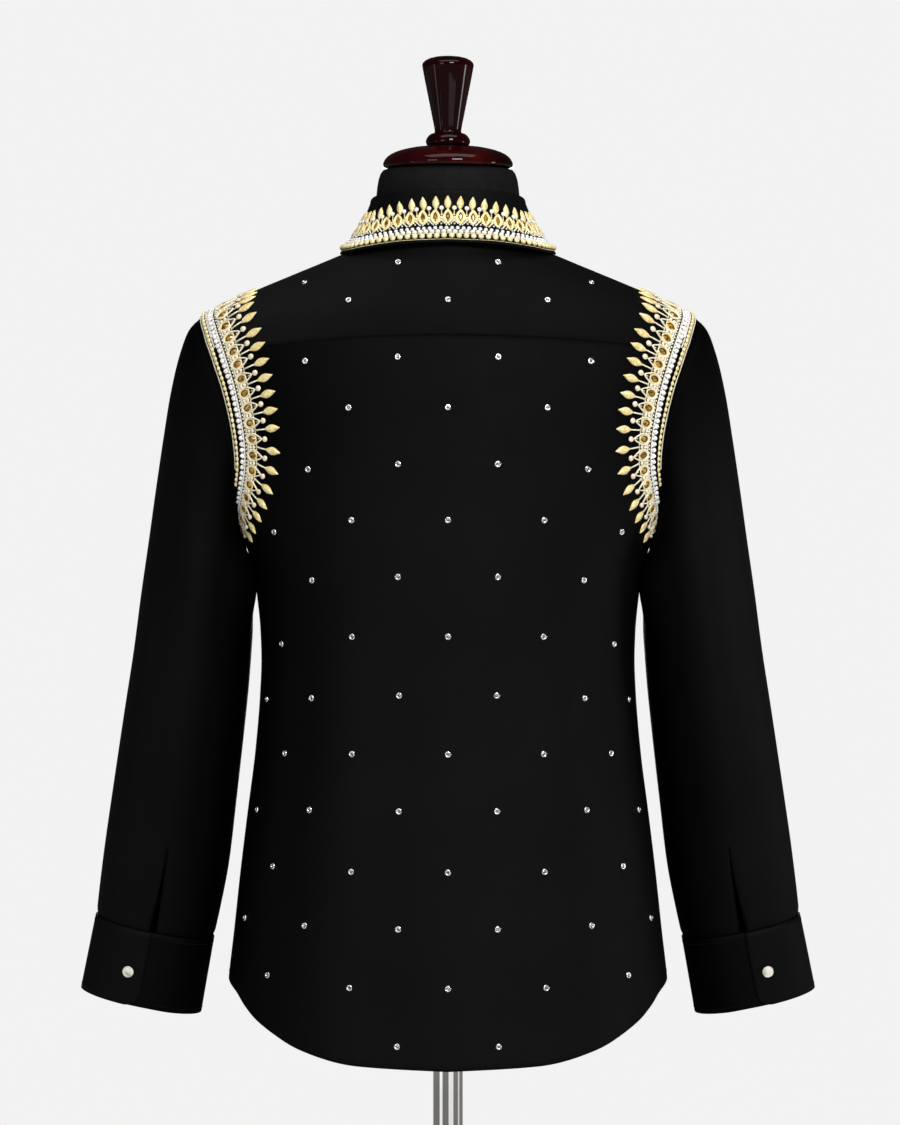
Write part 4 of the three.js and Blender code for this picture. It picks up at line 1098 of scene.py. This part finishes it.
COLLAR_LEAVES, ARMHOLE_LEAVES = 41, 39
collar_length, collar_at = run_of(lambda a: fall(a, 0.5), FALL_END + 1.5, 180 - FALL_END - 1.5)
ARMHOLE_END = 148
armhole_length, armhole_at = run_of(armhole_point, -ARMHOLE_END, ARMHOLE_END)


def on_collar(along, across, height):
    angle = collar_at(along)
    drop = np.linalg.norm(fall(angle, FALL_ROOT) - fall(angle, 1), axis=-1)
    return fall_at(angle, 1 - across / drop * (1 - FALL_ROOT), height)


TRACKS, STRIDES, STRIDE = 300, 30, 2.0


def inward_tracks():
    """Section angle and level reached by walking straight in over the cloth from the armhole seam."""
    phi = np.linspace(-ARMHOLE_END, ARMHOLE_END, TRACKS + 1)
    z = np.clip(armhole_z(phi), UNDERARM_Z + 0.001, SHOULDER_Z - 0.001)
    angle = np.sign(np.sin(np.radians(phi))) * armhole_angle(z)
    ahead = unit(armhole_point(phi + 0.5) - armhole_point(phi - 0.5))
    heading = unit(np.cross(body_normal(angle, z), ahead))
    tracks = [(angle, z)]
    d = 0.05
    for _ in range(STRIDES):
        by_angle = (plain_body(angle + d, z) - plain_body(angle - d, z)) / (2 * d)
        by_z = (plain_body(angle, z + d) - plain_body(angle, z - d)) / (2 * d)
        aa, ab, bb = (by_angle**2).sum(-1), (by_angle * by_z).sum(-1), (by_z**2).sum(-1)
        ha, hb = (heading * by_angle).sum(-1) * STRIDE, (heading * by_z).sum(-1) * STRIDE
        det = aa * bb - ab * ab
        new_angle, new_z = angle + (ha * bb - hb * ab) / det, z + (hb * aa - ha * ab) / det
        heading = unit(plain_body(new_angle, new_z) - plain_body(angle, z))
        angle, z = new_angle, new_z
        tracks.append((angle, z))
    return np.array([t[0] for t in tracks]), np.array([t[1] for t in tracks])


TRACK_ANGLE, TRACK_Z = inward_tracks()


def on_armhole(along, across, height):
    i = np.clip((armhole_at(along) + ARMHOLE_END) / (2 * ARMHOLE_END) * TRACKS, 0, TRACKS - 0.001)
    j = np.clip(across / STRIDE, 0, STRIDES - 0.001)
    i0, j0 = i.astype(int), j.astype(int)
    fi, fj = i - i0, j - j0

    def at(tracks):
        top = lerp(tracks[j0, i0], tracks[j0, i0 + 1], fi)
        low = lerp(tracks[j0 + 1, i0], tracks[j0 + 1, i0 + 1], fi)
        return lerp(top, low, fj)

    return body(at(TRACK_ANGLE), at(TRACK_Z), height)


def armhole_narrow(along):
    phi = np.abs(armhole_at(along))
    return 1.1 - 0.1 * smoothstep(45, 95, phi) - 0.32 * smoothstep(95, 150, phi)


def armhole_slip(along):
    """How far the rows slide out under the sleeve towards the underarm."""
    phi = np.abs(armhole_at(along))
    return 7.0 * smoothstep(104, 130, phi) + 7.0 * smoothstep(122, 146, phi)


def armhole_fan(along):
    """How far the leaves lean towards the underarm."""
    phi = armhole_at(along)
    return -np.sign(phi) * (0.6 * smoothstep(82, 122, np.abs(phi)) + 0.15 * smoothstep(122, 148, np.abs(phi)))


def row(length, pitch, offset=0.5):
    count = int(length / pitch)
    return (np.arange(count) + offset) * length / count


def plain_run(along):
    return np.ones(np.shape(along))


def embroider(
    name, place, length, leaves, rows, node, narrow=plain_run, fan=None, shown=None, slip=None, flip=False
):
    """Lays a border's rows from its edge inwards; rows says how far across each row lies."""
    pitch = length / leaves
    middle = (np.arange(leaves) + 0.5) * pitch
    between = np.arange(1, leaves) * pitch
    batches = {}

    def jitter(n, amount):
        return SEED.uniform(-amount, amount, n)

    def lay(kind, unit_mesh, along, across, height, turn=None):
        along, across = np.broadcast_arrays(np.asarray(along, float), np.asarray(across, float))
        k = narrow(along)
        at = across * k - (0 if slip is None else slip(along))
        keep = at > 0.4
        turn = None if turn is None else np.broadcast_to(turn, along.shape)[keep]
        scale = points(1, k[keep], 1)
        places = frames(place, along[keep], at[keep], height, turn, scale)
        batches.setdefault(kind, []).append((unit_mesh, places))

    def lean(along):
        return None if fan is None else fan(along)

    for kind, across, radius, reach in rows["cords"]:
        a = row(length, radius * 2.6)
        if reach:
            a = a[np.abs(a - length / 2) < reach]
        lay(kind, purl_unit(radius * 4.2, radius), a, across, 0.1)
    for kind, across, radius, gap, stretch in rows["beads"]:
        a = row(length, gap)
        bead = bead_unit(radius, radius * 1.4, 3, 8, stretch=stretch)
        lay(kind, bead, a, across + jitter(len(a), 0.08), 0.1)
    for i, (across, radius, gap) in enumerate(rows["crystals"]):
        a = row(length, gap, 0.25 + 0.5 * (i % 2))
        turn = jitter(len(a), 1.5)
        along, out = a + jitter(len(a), 0.12), across + jitter(len(a), 0.15)
        lay("crystal", rhinestone_unit(radius, radius * 0.7), along, out, 0.1, turn)
    # the trellis: small beads along two slanting lines from each gap to its neighbours
    low, high = rows["trellis"]
    small = bead_unit(0.9, 1.2, 2, 6)
    for side in (-1, 1):
        for t in np.linspace(0.0, 0.8, 4):
            a = between + side * t * pitch / 2
            lay("trellis", small, a + jitter(len(a), 0.15), lerp(high, low, t) + jitter(len(a), 0.2), 0.1)
    diamond = np.full(len(between), math.pi / 4)
    lay("trellis", rhinestone_unit(1.15, 0.9, 4), between, lerp(low, high, 0.42), 0.1, diamond)
    # stones in their frames
    f = rows["frame"]
    keep = np.ones(len(middle), bool) if shown is None else shown(middle)
    at = middle[keep]
    tilt = lean(at)
    half_tilt = None if tilt is None else tilt * 0.5
    outline = frame_unit(f["length"], f["half"], f["thick"], f["point"], f["reach"])
    setting = frame_unit(f["stone_length"] + 2.2, f["stone_half"] + 1.0, 0.7, f["stone_point"])
    stone = almond_unit(f["stone_length"], f["stone_half"], 1.5, f["stone_point"])
    lay("frame", outline, at, f["centre"], 0.15, half_tilt)
    lay("leaf", setting, at, f["stone_at"], 0.2, half_tilt)
    lay("amber", stone, at, f["stone_at"], 0.35, half_tilt)
    for side in (-1, 1):
        a = at + side * pitch * 0.26
        lean_in = np.full(len(a), -side * 0.7) + (0 if tilt is None else tilt * 0.3)
        lay("frame", stem_unit(f["length"] * 0.4, 0.5), a, f["centre"] - f["length"] * 0.42, 0.2, lean_in)
    for across, radius in rows["fillers"]:
        inside = between if shown is None else between[shown(between)]
        lay("frame", bead_unit(radius, radius * 1.3, 2, 8), inside, across, 0.15)
    # knots and leaves on their stems
    k, p = rows["knot"], rows["leaf"]
    knots_at, leaves_at = (middle, between) if p["between"] else (between, middle)
    if shown is not None:
        knots_at, leaves_at = knots_at[shown(knots_at)], leaves_at[shown(leaves_at)]
    run = k["at"] - k["root"]
    lay("frame", stem_unit(run, 0.55), knots_at, k["root"], 0.2, lean(knots_at))
    knot = bead_unit(k["radius"], k["radius"] * 1.2, 3, 10, shift=run)
    lay("knot", knot, knots_at, k["root"], 0.15, lean(knots_at))
    stem = p["root"] - p["stem"]
    sway = jitter(len(leaves_at), 0.05) + (0 if fan is None else fan(leaves_at))
    if stem > 0.5:
        lay("frame", stem_unit(stem + 0.8, 0.8), leaves_at, p["stem"], 0.2, sway)
    lay("leaf", leaf_unit(p["length"], p["half"], 1.9, stem), leaves_at, p["stem"], 0.2, sway)

    looks = {
        "cord": (CREAM, True), "white_cord": (CREAM_WHITE, True), "bead_row": (GOLD_BEAD, True),
        "crystal": (CRYSTAL, False), "trellis": (CREAM_WHITE, True), "frame": (rows["frame_look"], True),
        "amber": (AMBER, False), "knot": (rows["knot_look"], True), "leaf": (GOLD, True),
    }
    for kind, parts in batches.items():
        material, smooth = looks[kind]
        bm = bmesh.new()
        for unit_mesh, places in parts:
            strew(bm, unit_mesh, places)
        if flip:
            mirrored(bm)
        piece(f"{name}_{kind}", bm, material, (node,) if kind == "leaf" else (), smooth)


COLLAR_ROWS = {
    "cords": [("bead_row", 2.5, 0.25, None), ("bead_row", 8.0, 0.35, None), ("cord", 21.4, 0.5, None)],
    "beads": [("bead_row", 5.2, 2.75, 5.7, 1.0)],
    "crystals": [(10.2, 2.5, 4.8), (13.6, 1.9, 4.8)],
    "trellis": (15.4, 20.5),
    "frame": {
        "centre": 23.6, "length": 12.0, "half": 4.1, "thick": 0.9, "point": 0.5, "reach": 0.8,
        "stone_at": 23.8, "stone_length": 8.0, "stone_half": 1.7, "stone_point": 0.45,
    },
    "fillers": [(23.0, 1.5), (26.0, 1.1), (20.4, 0.9)],
    "knot": {"root": 25.5, "at": 32.2, "radius": 2.2},
    "knot_look": CREAM_WHITE,
    "frame_look": GOLD_BEAD,
    "leaf": {"between": False, "stem": 30.2, "root": 30.4, "length": 14.2, "half": 3.3},
}
ARMHOLE_ROWS = {
    "cords": [
        ("cord", 1.1, 0.5, None), ("bead_row", 4.9, 0.5, None), ("cord", 2.9, 0.45, 75),
        ("white_cord", 7.3, 0.55, 62), ("white_cord", 8.4, 0.55, 50), ("white_cord", 14.6, 0.5, None),
        ("cord", 19.2, 0.55, None), ("cord", 28.6, 0.5, None),
    ],
    "beads": [("bead_row", 4.9, 1.75, 4.9, 1.25), ("cord", 17.2, 1.0, 3.1, 1.0)],
    "crystals": [(10.7, 2.5, 5.0), (13.6, 1.5, 3.1)],
    "trellis": (16.6, 20.5),
    "frame": {
        "centre": 24.6, "length": 12.6, "half": 5.4, "thick": 0.8, "point": 0.35, "reach": 4.2,
        "stone_at": 24.0, "stone_length": 7.4, "stone_half": 2.85, "stone_point": 0.15,
    },
    "fillers": [(22.2, 1.6), (26.0, 1.7), (30.4, 0.9)],
    "knot": {"root": 31.0, "at": 39.2, "radius": 2.75},
    "knot_look": ROSE_CREAM,
    "frame_look": CREAM,
    "leaf": {"between": True, "stem": 29.5, "root": 38.6, "length": 16.8, "half": 3.7},
}


# ---- sewing --------------------------------------------------------------------------------------


STITCH_LENGTH, STITCH_GAP, STITCH_RADIUS = 2.1, 0.9, 0.24


def stitch_unit():
    bm = bmesh.new()
    bmesh.ops.create_cone(bm, cap_ends=True, segments=6, radius1=1, radius2=1, depth=2)
    rotate(bm, math.pi / 2, "Y")
    return as_unit(bm)


STITCH = stitch_unit()


def stitches(bm, path, normals):
    """A row of stitches along a line of points on the cloth."""
    far = np.concatenate([[0], np.cumsum(np.linalg.norm(np.diff(path, axis=0), axis=1))])
    count = int(far[-1] / (STITCH_LENGTH + STITCH_GAP))
    mids = (np.arange(count) + 0.5) * far[-1] / count

    def along(values, at):
        return np.stack([np.interp(at, far, values[:, k]) for k in range(3)], -1)

    n = unit(along(normals, mids))
    x = unit(along(path, mids + 0.5) - along(path, mids - 0.5))
    y = unit(np.cross(n, x))
    at = along(path, mids) + n * STITCH_RADIUS * 0.3
    half = STITCH_LENGTH / 2
    places = [placing(a * half, b * STITCH_RADIUS, c * STITCH_RADIUS, p) for p, a, b, c in zip(at, x, y, n)]
    strew(bm, STITCH, places)


def stitch_on(bm, surface, angle, ring, out=0.0):
    """A row of stitches on a sleeve or cuff, along angles and rings."""
    p = surface(angle, ring, out)
    stitches(bm, p, surface(angle, ring, out + 1.0) - p)


def sew():
    seams = bmesh.new()
    # yoke, both sides of the seam's fold
    a = np.linspace(YOKE_CORNER + 1, 179 - YOKE_CORNER, 300)
    z = yoke_back_z(a) + 2.0
    stitches(seams, body(a, z), body_normal(a, z))
    for angle in (YOKE_FRONT_ANGLE + 1.2, 180 - YOKE_FRONT_ANGLE - 1.2):
        t = np.linspace(0.02, 0.97, 120)
        low = float(armhole_top_z(np.array(abs(YOKE_FRONT_ANGLE + 1.2))))
        z = lerp(low, float(neck_seam_z(np.array(angle))), t)
        stitches(seams, body(angle, z), body_normal(np.full(z.shape, angle), z))
    # hem
    for start, end, count in ((1, 179, 500), (181, 359, 480)):
        a = np.linspace(start, end, count)
        z = hem_z(a) + 6.5
        stitches(seams, body(a, z), body_normal(a, z))
    # front placket
    for x in (-PLACKET_HALF + 4.5, PLACKET_HALF - 4.5):
        z = np.linspace(hem_z(np.array(-90.0)) + 4, neck_seam_z(np.array(-90.0)) - 4, 400)
        p = body(centre_angle(z, x), z, 1.3)
        stitches(seams, p, body_normal(centre_angle(z, x), z))
    piece("body_topstitching", seams, THREAD)
    for side in ("left", "right"):
        bm = bmesh.new()
        # armhole seam, sewn down on the sleeve side
        a = np.linspace(-179, 179, 420)
        stitch_on(bm, sleeve, a, np.full(a.shape, 0.5))
        # the slit's upper edge and its binding
        ring = np.linspace(SLIT_TOP_RING, LAST_RING - 0.3, 90)
        stitch_on(bm, sleeve, slit_angle(ring) - 3, ring, 0.75)
        # cuff edges
        a = np.linspace(CUFF_START + 40, CUFF_EDGE_ANGLE - 8, 160)
        for level in (0.13, 1.87):
            stitch_on(bm, cuff, a, np.full(a.shape, level))
        ring = np.linspace(0.13, 1.7, 40)
        stitch_on(bm, cuff, np.full(ring.shape, CUFF_EDGE_ANGLE - 4.6), ring)
        if side == "right":
            mirrored(bm)
        piece(f"sleeve_{side}_topstitching", bm, THREAD)


# ---- buttons -------------------------------------------------------------------------------------


BUTTON_RADIUS = 5.4
# how far in from the edge, then the level
DOMED_RIM = ((1.2, 0), (0.3, 0.4), (0, 1.2), (0.25, 1.9), (0.8, 2.15), (1.15, 1.9), (1.5, 2.0), (2.6, 2.45))
DISHED_RIM = ((1, 0), (0.2, 0.5), (0, 1.2), (0.25, 1.9), (0.9, 2.2), (1.5, 1.95), (2, 1.5))


def button_profile(rim, *middle):
    return [(0, 0), *((BUTTON_RADIUS - inset, z) for inset, z in rim), *middle]


def rod(radius, depth, segments):
    bm = bmesh.new()
    bmesh.ops.create_cone(bm, cap_ends=True, segments=segments, radius1=radius, radius2=radius, depth=depth)
    return bm


def button(name, at, normal, domed=False):
    """A sewn-on button: rim, dished face, four sunk holes and a thread cross, or a domed one in the same shell
    material.
    """
    n = unit(np.asarray(normal, float))
    x = unit(np.cross((0.0, 0.0, 1.0), n))
    place = placing(x, np.cross(n, x), n, at)
    if domed:
        profile, kind = button_profile(DOMED_RIM, (1.2, 2.75), (0, 2.8)), "metal"
    else:
        profile, kind = button_profile(DISHED_RIM, (0, 1.4)), "shell"
    disc = strew(bmesh.new(), as_unit(turned(profile, 28)), [place])
    piece(f"{name}_{kind}", disc, SHELL, (name,))
    if domed:
        return
    thread = bmesh.new()
    for dx, dy in ((1, 1), (1, -1), (-1, 1), (-1, -1)):
        hole = rod(0.55, 0.2, 10)
        move(hole, dx * 1.15, dy * 1.15, 1.42)
        strew(thread, as_unit(hole), [place])
    for turn in (math.pi / 4, -math.pi / 4):
        bar = rod(0.36, 3.4, 8)
        rotate(bar, math.pi / 2, "Y")
        rotate(bar, turn, "Z")
        move(bar, 0, 0, 1.66)
        strew(thread, as_unit(bar), [place])
    piece(f"{name}_thread", thread, THREAD)


def buttons():
    for i, z in enumerate(FRONT_BUTTON_LEVELS):
        level = np.array(float(z))
        button(f"front_button_{i + 1}", body(-90.0, level, 1.8), body_normal(np.array(-90.0), level))
    angle = np.array([-90.0])
    low, high = body(angle, neck_seam_z(angle))[0], fold_point(angle, 0, collar_fold_z(angle) - 0.6)[0]
    n = unit(np.cross((1.0, 0, 0), high - low))
    button("collar_button", lerp(low, high, 0.42) + n * 0.5, n)
    from_edge, radius = 13.5, 54
    angle = np.array([CUFF_EDGE_ANGLE - math.degrees(from_edge / radius)])
    ring = np.array([1.09])
    at, n = cuff(angle, ring, 0.5)[0], unit(cuff(angle, ring, 1.0) - cuff(angle, ring))[0]
    for side, flip in (("left", 1), ("right", -1)):
        button(f"cuff_button_{side}", at * (flip, 1, 1), n * (flip, 1, 1), domed=True)


# ---- the sewn-on stones --------------------------------------------------------------------------


def stones():
    spots = []
    for z, x in zip(BACK_STONES["z"], BACK_STONES["out"]):
        for sign in ((1,) if x == 0 else (1, -1)):
            spots.append((math.degrees(math.acos(sign * x / float(BODY["half"](z)))), z))
    # the fronts carry the same lattice
    for i, z in enumerate(np.arange(1262, 640, -54.0)):
        for x in (47, 132) if i % 2 == 0 else (88, 160):
            if z > UNDERARM_Z and x > 150:
                continue
            for sign in (1, -1):
                spots.append((-math.degrees(math.acos(sign * x / float(BODY["half"](z)))), z))
    a, z = np.array(spots).T
    places = []
    for p, normal in zip(body(a, z, 0.1), body_normal(a, z)):
        x = unit(np.cross((0, 0, 1.0), normal))
        places.append(placing(x, np.cross(normal, x), normal, p))
    settings = strew(bmesh.new(), setting_unit(), places)
    hearts = strew(bmesh.new(), bead_unit(1.25, 1.0, 2, 8), places)
    piece("body_stone_settings", settings, SILVER)
    piece("body_stone_hearts", hearts, STONE_HEART)


# ---- making the part -----------------------------------------------------------------------------


def make():
    piece("form_body", form_body(), FORM_CLOTH, ("dress_form",))
    back = grid(150, 130, back_place, (0.46, 0.66))
    cloth("back_panel", "back", back, material=BLACK_BACK_PAINTED_SHADE)
    yoke = grid(190, 26, yoke_place, (0.62, 0.11))
    cloth("yoke_panel", "yoke", yoke, material=BLACK_YOKE_PAINTED_LIGHT_AND_SHADE)
    front = grid(84, 130, front_place(0.0), (0.26, 0.72))
    cloth("front_left_panel", "front_left", front)
    right = mirrored(grid(84, 130, front_place(-2.4), (0.26, 0.72)))
    cloth("front_right_panel", "front_right", right)
    band = grid(6, 160, placket_place, (0.035, 0.72))
    cloth("placket_band", "placket", band, wall=1.0)
    stand = grid(180, 8, stand_place, (0.46, 0.036))
    cloth("collar_stand_band", "collar_stand", stand, wall=STIFFENED)
    cloth(
        "collar_fall_cloth", "collar_fall", grid(200, 30, collar_place, (0.52, 0.06)),
        wall=1.6,
    )
    for side in ("left", "right"):
        tube = grid(104, 150, sleeve_place, (0.36, 0.58), weld=True)
        band = grid(120, 14, cuff_place, (0.28, 0.07))
        if side == "right":
            mirrored(tube)
            mirrored(band)
        lengths = [f"sleeve_{length}_{side}" for length in ("top", "middle", "lower")]
        cloth(
            f"sleeve_{side}_tube", lengths, tube,
            material=BLACK_SLEEVE_PAINTED_LIGHT_AND_SHADE,
        )
        cloth(
            f"cuff_{side}_band", f"cuff_{side}", band,
            material=BLACK_CUFF_PAINTED_LIGHT_AND_SHADE, wall=STIFFENED,
        )
    embroider("collar", on_collar, collar_length, COLLAR_LEAVES, COLLAR_ROWS, "collar_border")
    for side in ("left", "right"):
        embroider(
            f"armhole_{side}", on_armhole, armhole_length, ARMHOLE_LEAVES, ARMHOLE_ROWS,
            f"armhole_border_{side}", armhole_narrow, armhole_fan,
            lambda along: np.abs(armhole_at(along)) < 144, armhole_slip, side == "right",
        )
    stones()
    buttons()
    sew()
    piece("neck_cap_wood", turned(CAP_PROFILE, 72), CHERRY, ("neck_cap",))
    piece("finial_wood", turned(FINIAL_PROFILE, 48), CHERRY, ("finial",))
    rounded(piece("pole_tube", turned(POLE_PROFILE, 48), CHROME, ("stand_pole",)), 0.6)
    rounded(piece("pole_flange", turned(FLANGE_PROFILE, 48), CHROME, ("form_flange",)), 0.4, 2)
    rounded(piece("base_disc", turned(BASE_PROFILE, 96), BASE_CHROME, ("stand_base",)), 0.5, 2)


make()

# ---- floor, light and camera ---------------------------------------------------------------------


def pale_floor():
    bm = bmesh.new()
    bmesh.ops.create_circle(bm, cap_ends=True, segments=64, radius=2.4)
    mesh = bpy.data.meshes.new("pale_floor")
    bm.to_mesh(mesh)
    bm.free()
    floor = bpy.data.objects.new("pale_floor", mesh)
    bpy.context.scene.collection.objects.link(floor)
    m = Nodes("pale_floor")
    m.set(Roughness=0.85, Specular_IOR_Level=0.1)
    m.colour(m.ramp(m.noise(3), (0.3, (0.78, 0.78, 0.78)), (0.7, (0.80, 0.80, 0.80))))
    mesh.materials.append(m.material)


def studio_world():
    world = bpy.data.worlds.new("studio")
    bpy.context.scene.world = world
    world.use_nodes = True
    tree = world.node_tree
    tree.nodes.clear()
    new = tree.nodes.new
    coords, split = new("ShaderNodeTexCoord"), new("ShaderNodeSeparateXYZ")
    ramp, soft, plain = new("ShaderNodeValToRGB"), new("ShaderNodeBackground"), new("ShaderNodeBackground")
    rays, mix, output = new("ShaderNodeLightPath"), new("ShaderNodeMixShader"), new("ShaderNodeOutputWorld")
    stops = ramp.color_ramp.elements
    stops[0].position, stops[0].color = 0.455, (0.30, 0.30, 0.30, 1)
    stops[1].position, stops[1].color = 0.495, (0.06, 0.06, 0.06, 1)
    scale = new("ShaderNodeMath")
    scale.operation = "MULTIPLY_ADD"
    scale.inputs[1].default_value, scale.inputs[2].default_value = 0.5, 0.5
    link = tree.links.new
    link(coords.outputs["Generated"], split.inputs["Vector"])
    link(split.outputs["Z"], scale.inputs[0])
    link(scale.outputs["Value"], ramp.inputs["Fac"])
    link(ramp.outputs["Color"], soft.inputs["Color"])
    soft.inputs["Strength"].default_value = 0.9
    plain.inputs["Color"].default_value = (0.888, 0.888, 0.888, 1)
    link(rays.outputs["Is Camera Ray"], mix.inputs["Fac"])
    link(soft.outputs["Background"], mix.inputs[1])
    link(plain.outputs["Background"], mix.inputs[2])
    link(mix.outputs["Shader"], output.inputs["Surface"])


# name, place, what it is aimed at, size, power in watts
SOFTBOXES = (
    ("key", (-1.3, 4.2, 3.4), (0, 0, 1.1), (1.4, 1.2), 172),
    ("overhead", (-0.1, 0.7, 3.4), (0, 0.1, 1.3), (2.4, 1.0), 26),
    ("fill", (2.2, 4.2, 2.2), (0, 0, 1.1), (1.4, 1.4), 30),
    ("right_strip", (-3.0, 0.12, 0.95), (0, 0, 0.95), (0.42, 0.8), 13),
    ("left_strip", (3.1, 1.4, 0.95), (0, 0, 0.95), (0.3, 0.8), 2.2),
    ("low_right", (-1.42, 3.2, 0.27), (0, 0, 0.27), (2.4, 0.5), 3.8),
    ("low_left", (2.9, 1.96, 0.27), (0, 0, 0.27), (1.5, 0.5), 2.8),
    ("low_side", (-3.2, -0.17, 0.27), (0, 0, 0.27), (0.8, 0.5), 1.0),
    ("front_fill", (0, -4.0, 1.05), (0, 0, 1.05), (1.4, 1.4), 60),
)


def softbox(name, place, target, size, power):
    light = bpy.data.lights.new(name, "AREA")
    light.shape, light.size, light.size_y, light.energy = "RECTANGLE", size[0], size[1], power
    lamp = bpy.data.objects.new(name, light)
    lamp.location = place
    lamp.rotation_euler = (Vector(place) - Vector(target)).to_track_quat("Z", "Y").to_euler()
    bpy.context.scene.collection.objects.link(lamp)


CAMERA_AWAY, CAMERA_SIDE, CAMERA_HEIGHT = 5.0, -0.0019, 1.070
SENSOR = 36
VIEW_HEIGHT = 1125 * 0.935 * MM


def camera():
    """Looks straight at the back, and takes in VIEW_HEIGHT metres at the pole."""
    data = bpy.data.cameras.new("camera")
    data.sensor_fit, data.sensor_width, data.sensor_height = "VERTICAL", SENSOR, SENSOR
    data.lens = SENSOR * CAMERA_AWAY / VIEW_HEIGHT
    data.clip_start, data.clip_end = 0.1, 60
    cam = bpy.data.objects.new("camera", data)
    cam.location = (CAMERA_SIDE, CAMERA_AWAY, CAMERA_HEIGHT)
    cam.rotation_euler = (math.radians(90), 0, math.radians(180))
    bpy.context.scene.collection.objects.link(cam)
    bpy.context.scene.camera = cam


pale_floor()
studio_world()
for lamp in SOFTBOXES:
    softbox(*lamp)
camera()
bpy.context.scene.view_settings.view_transform = "Standard"
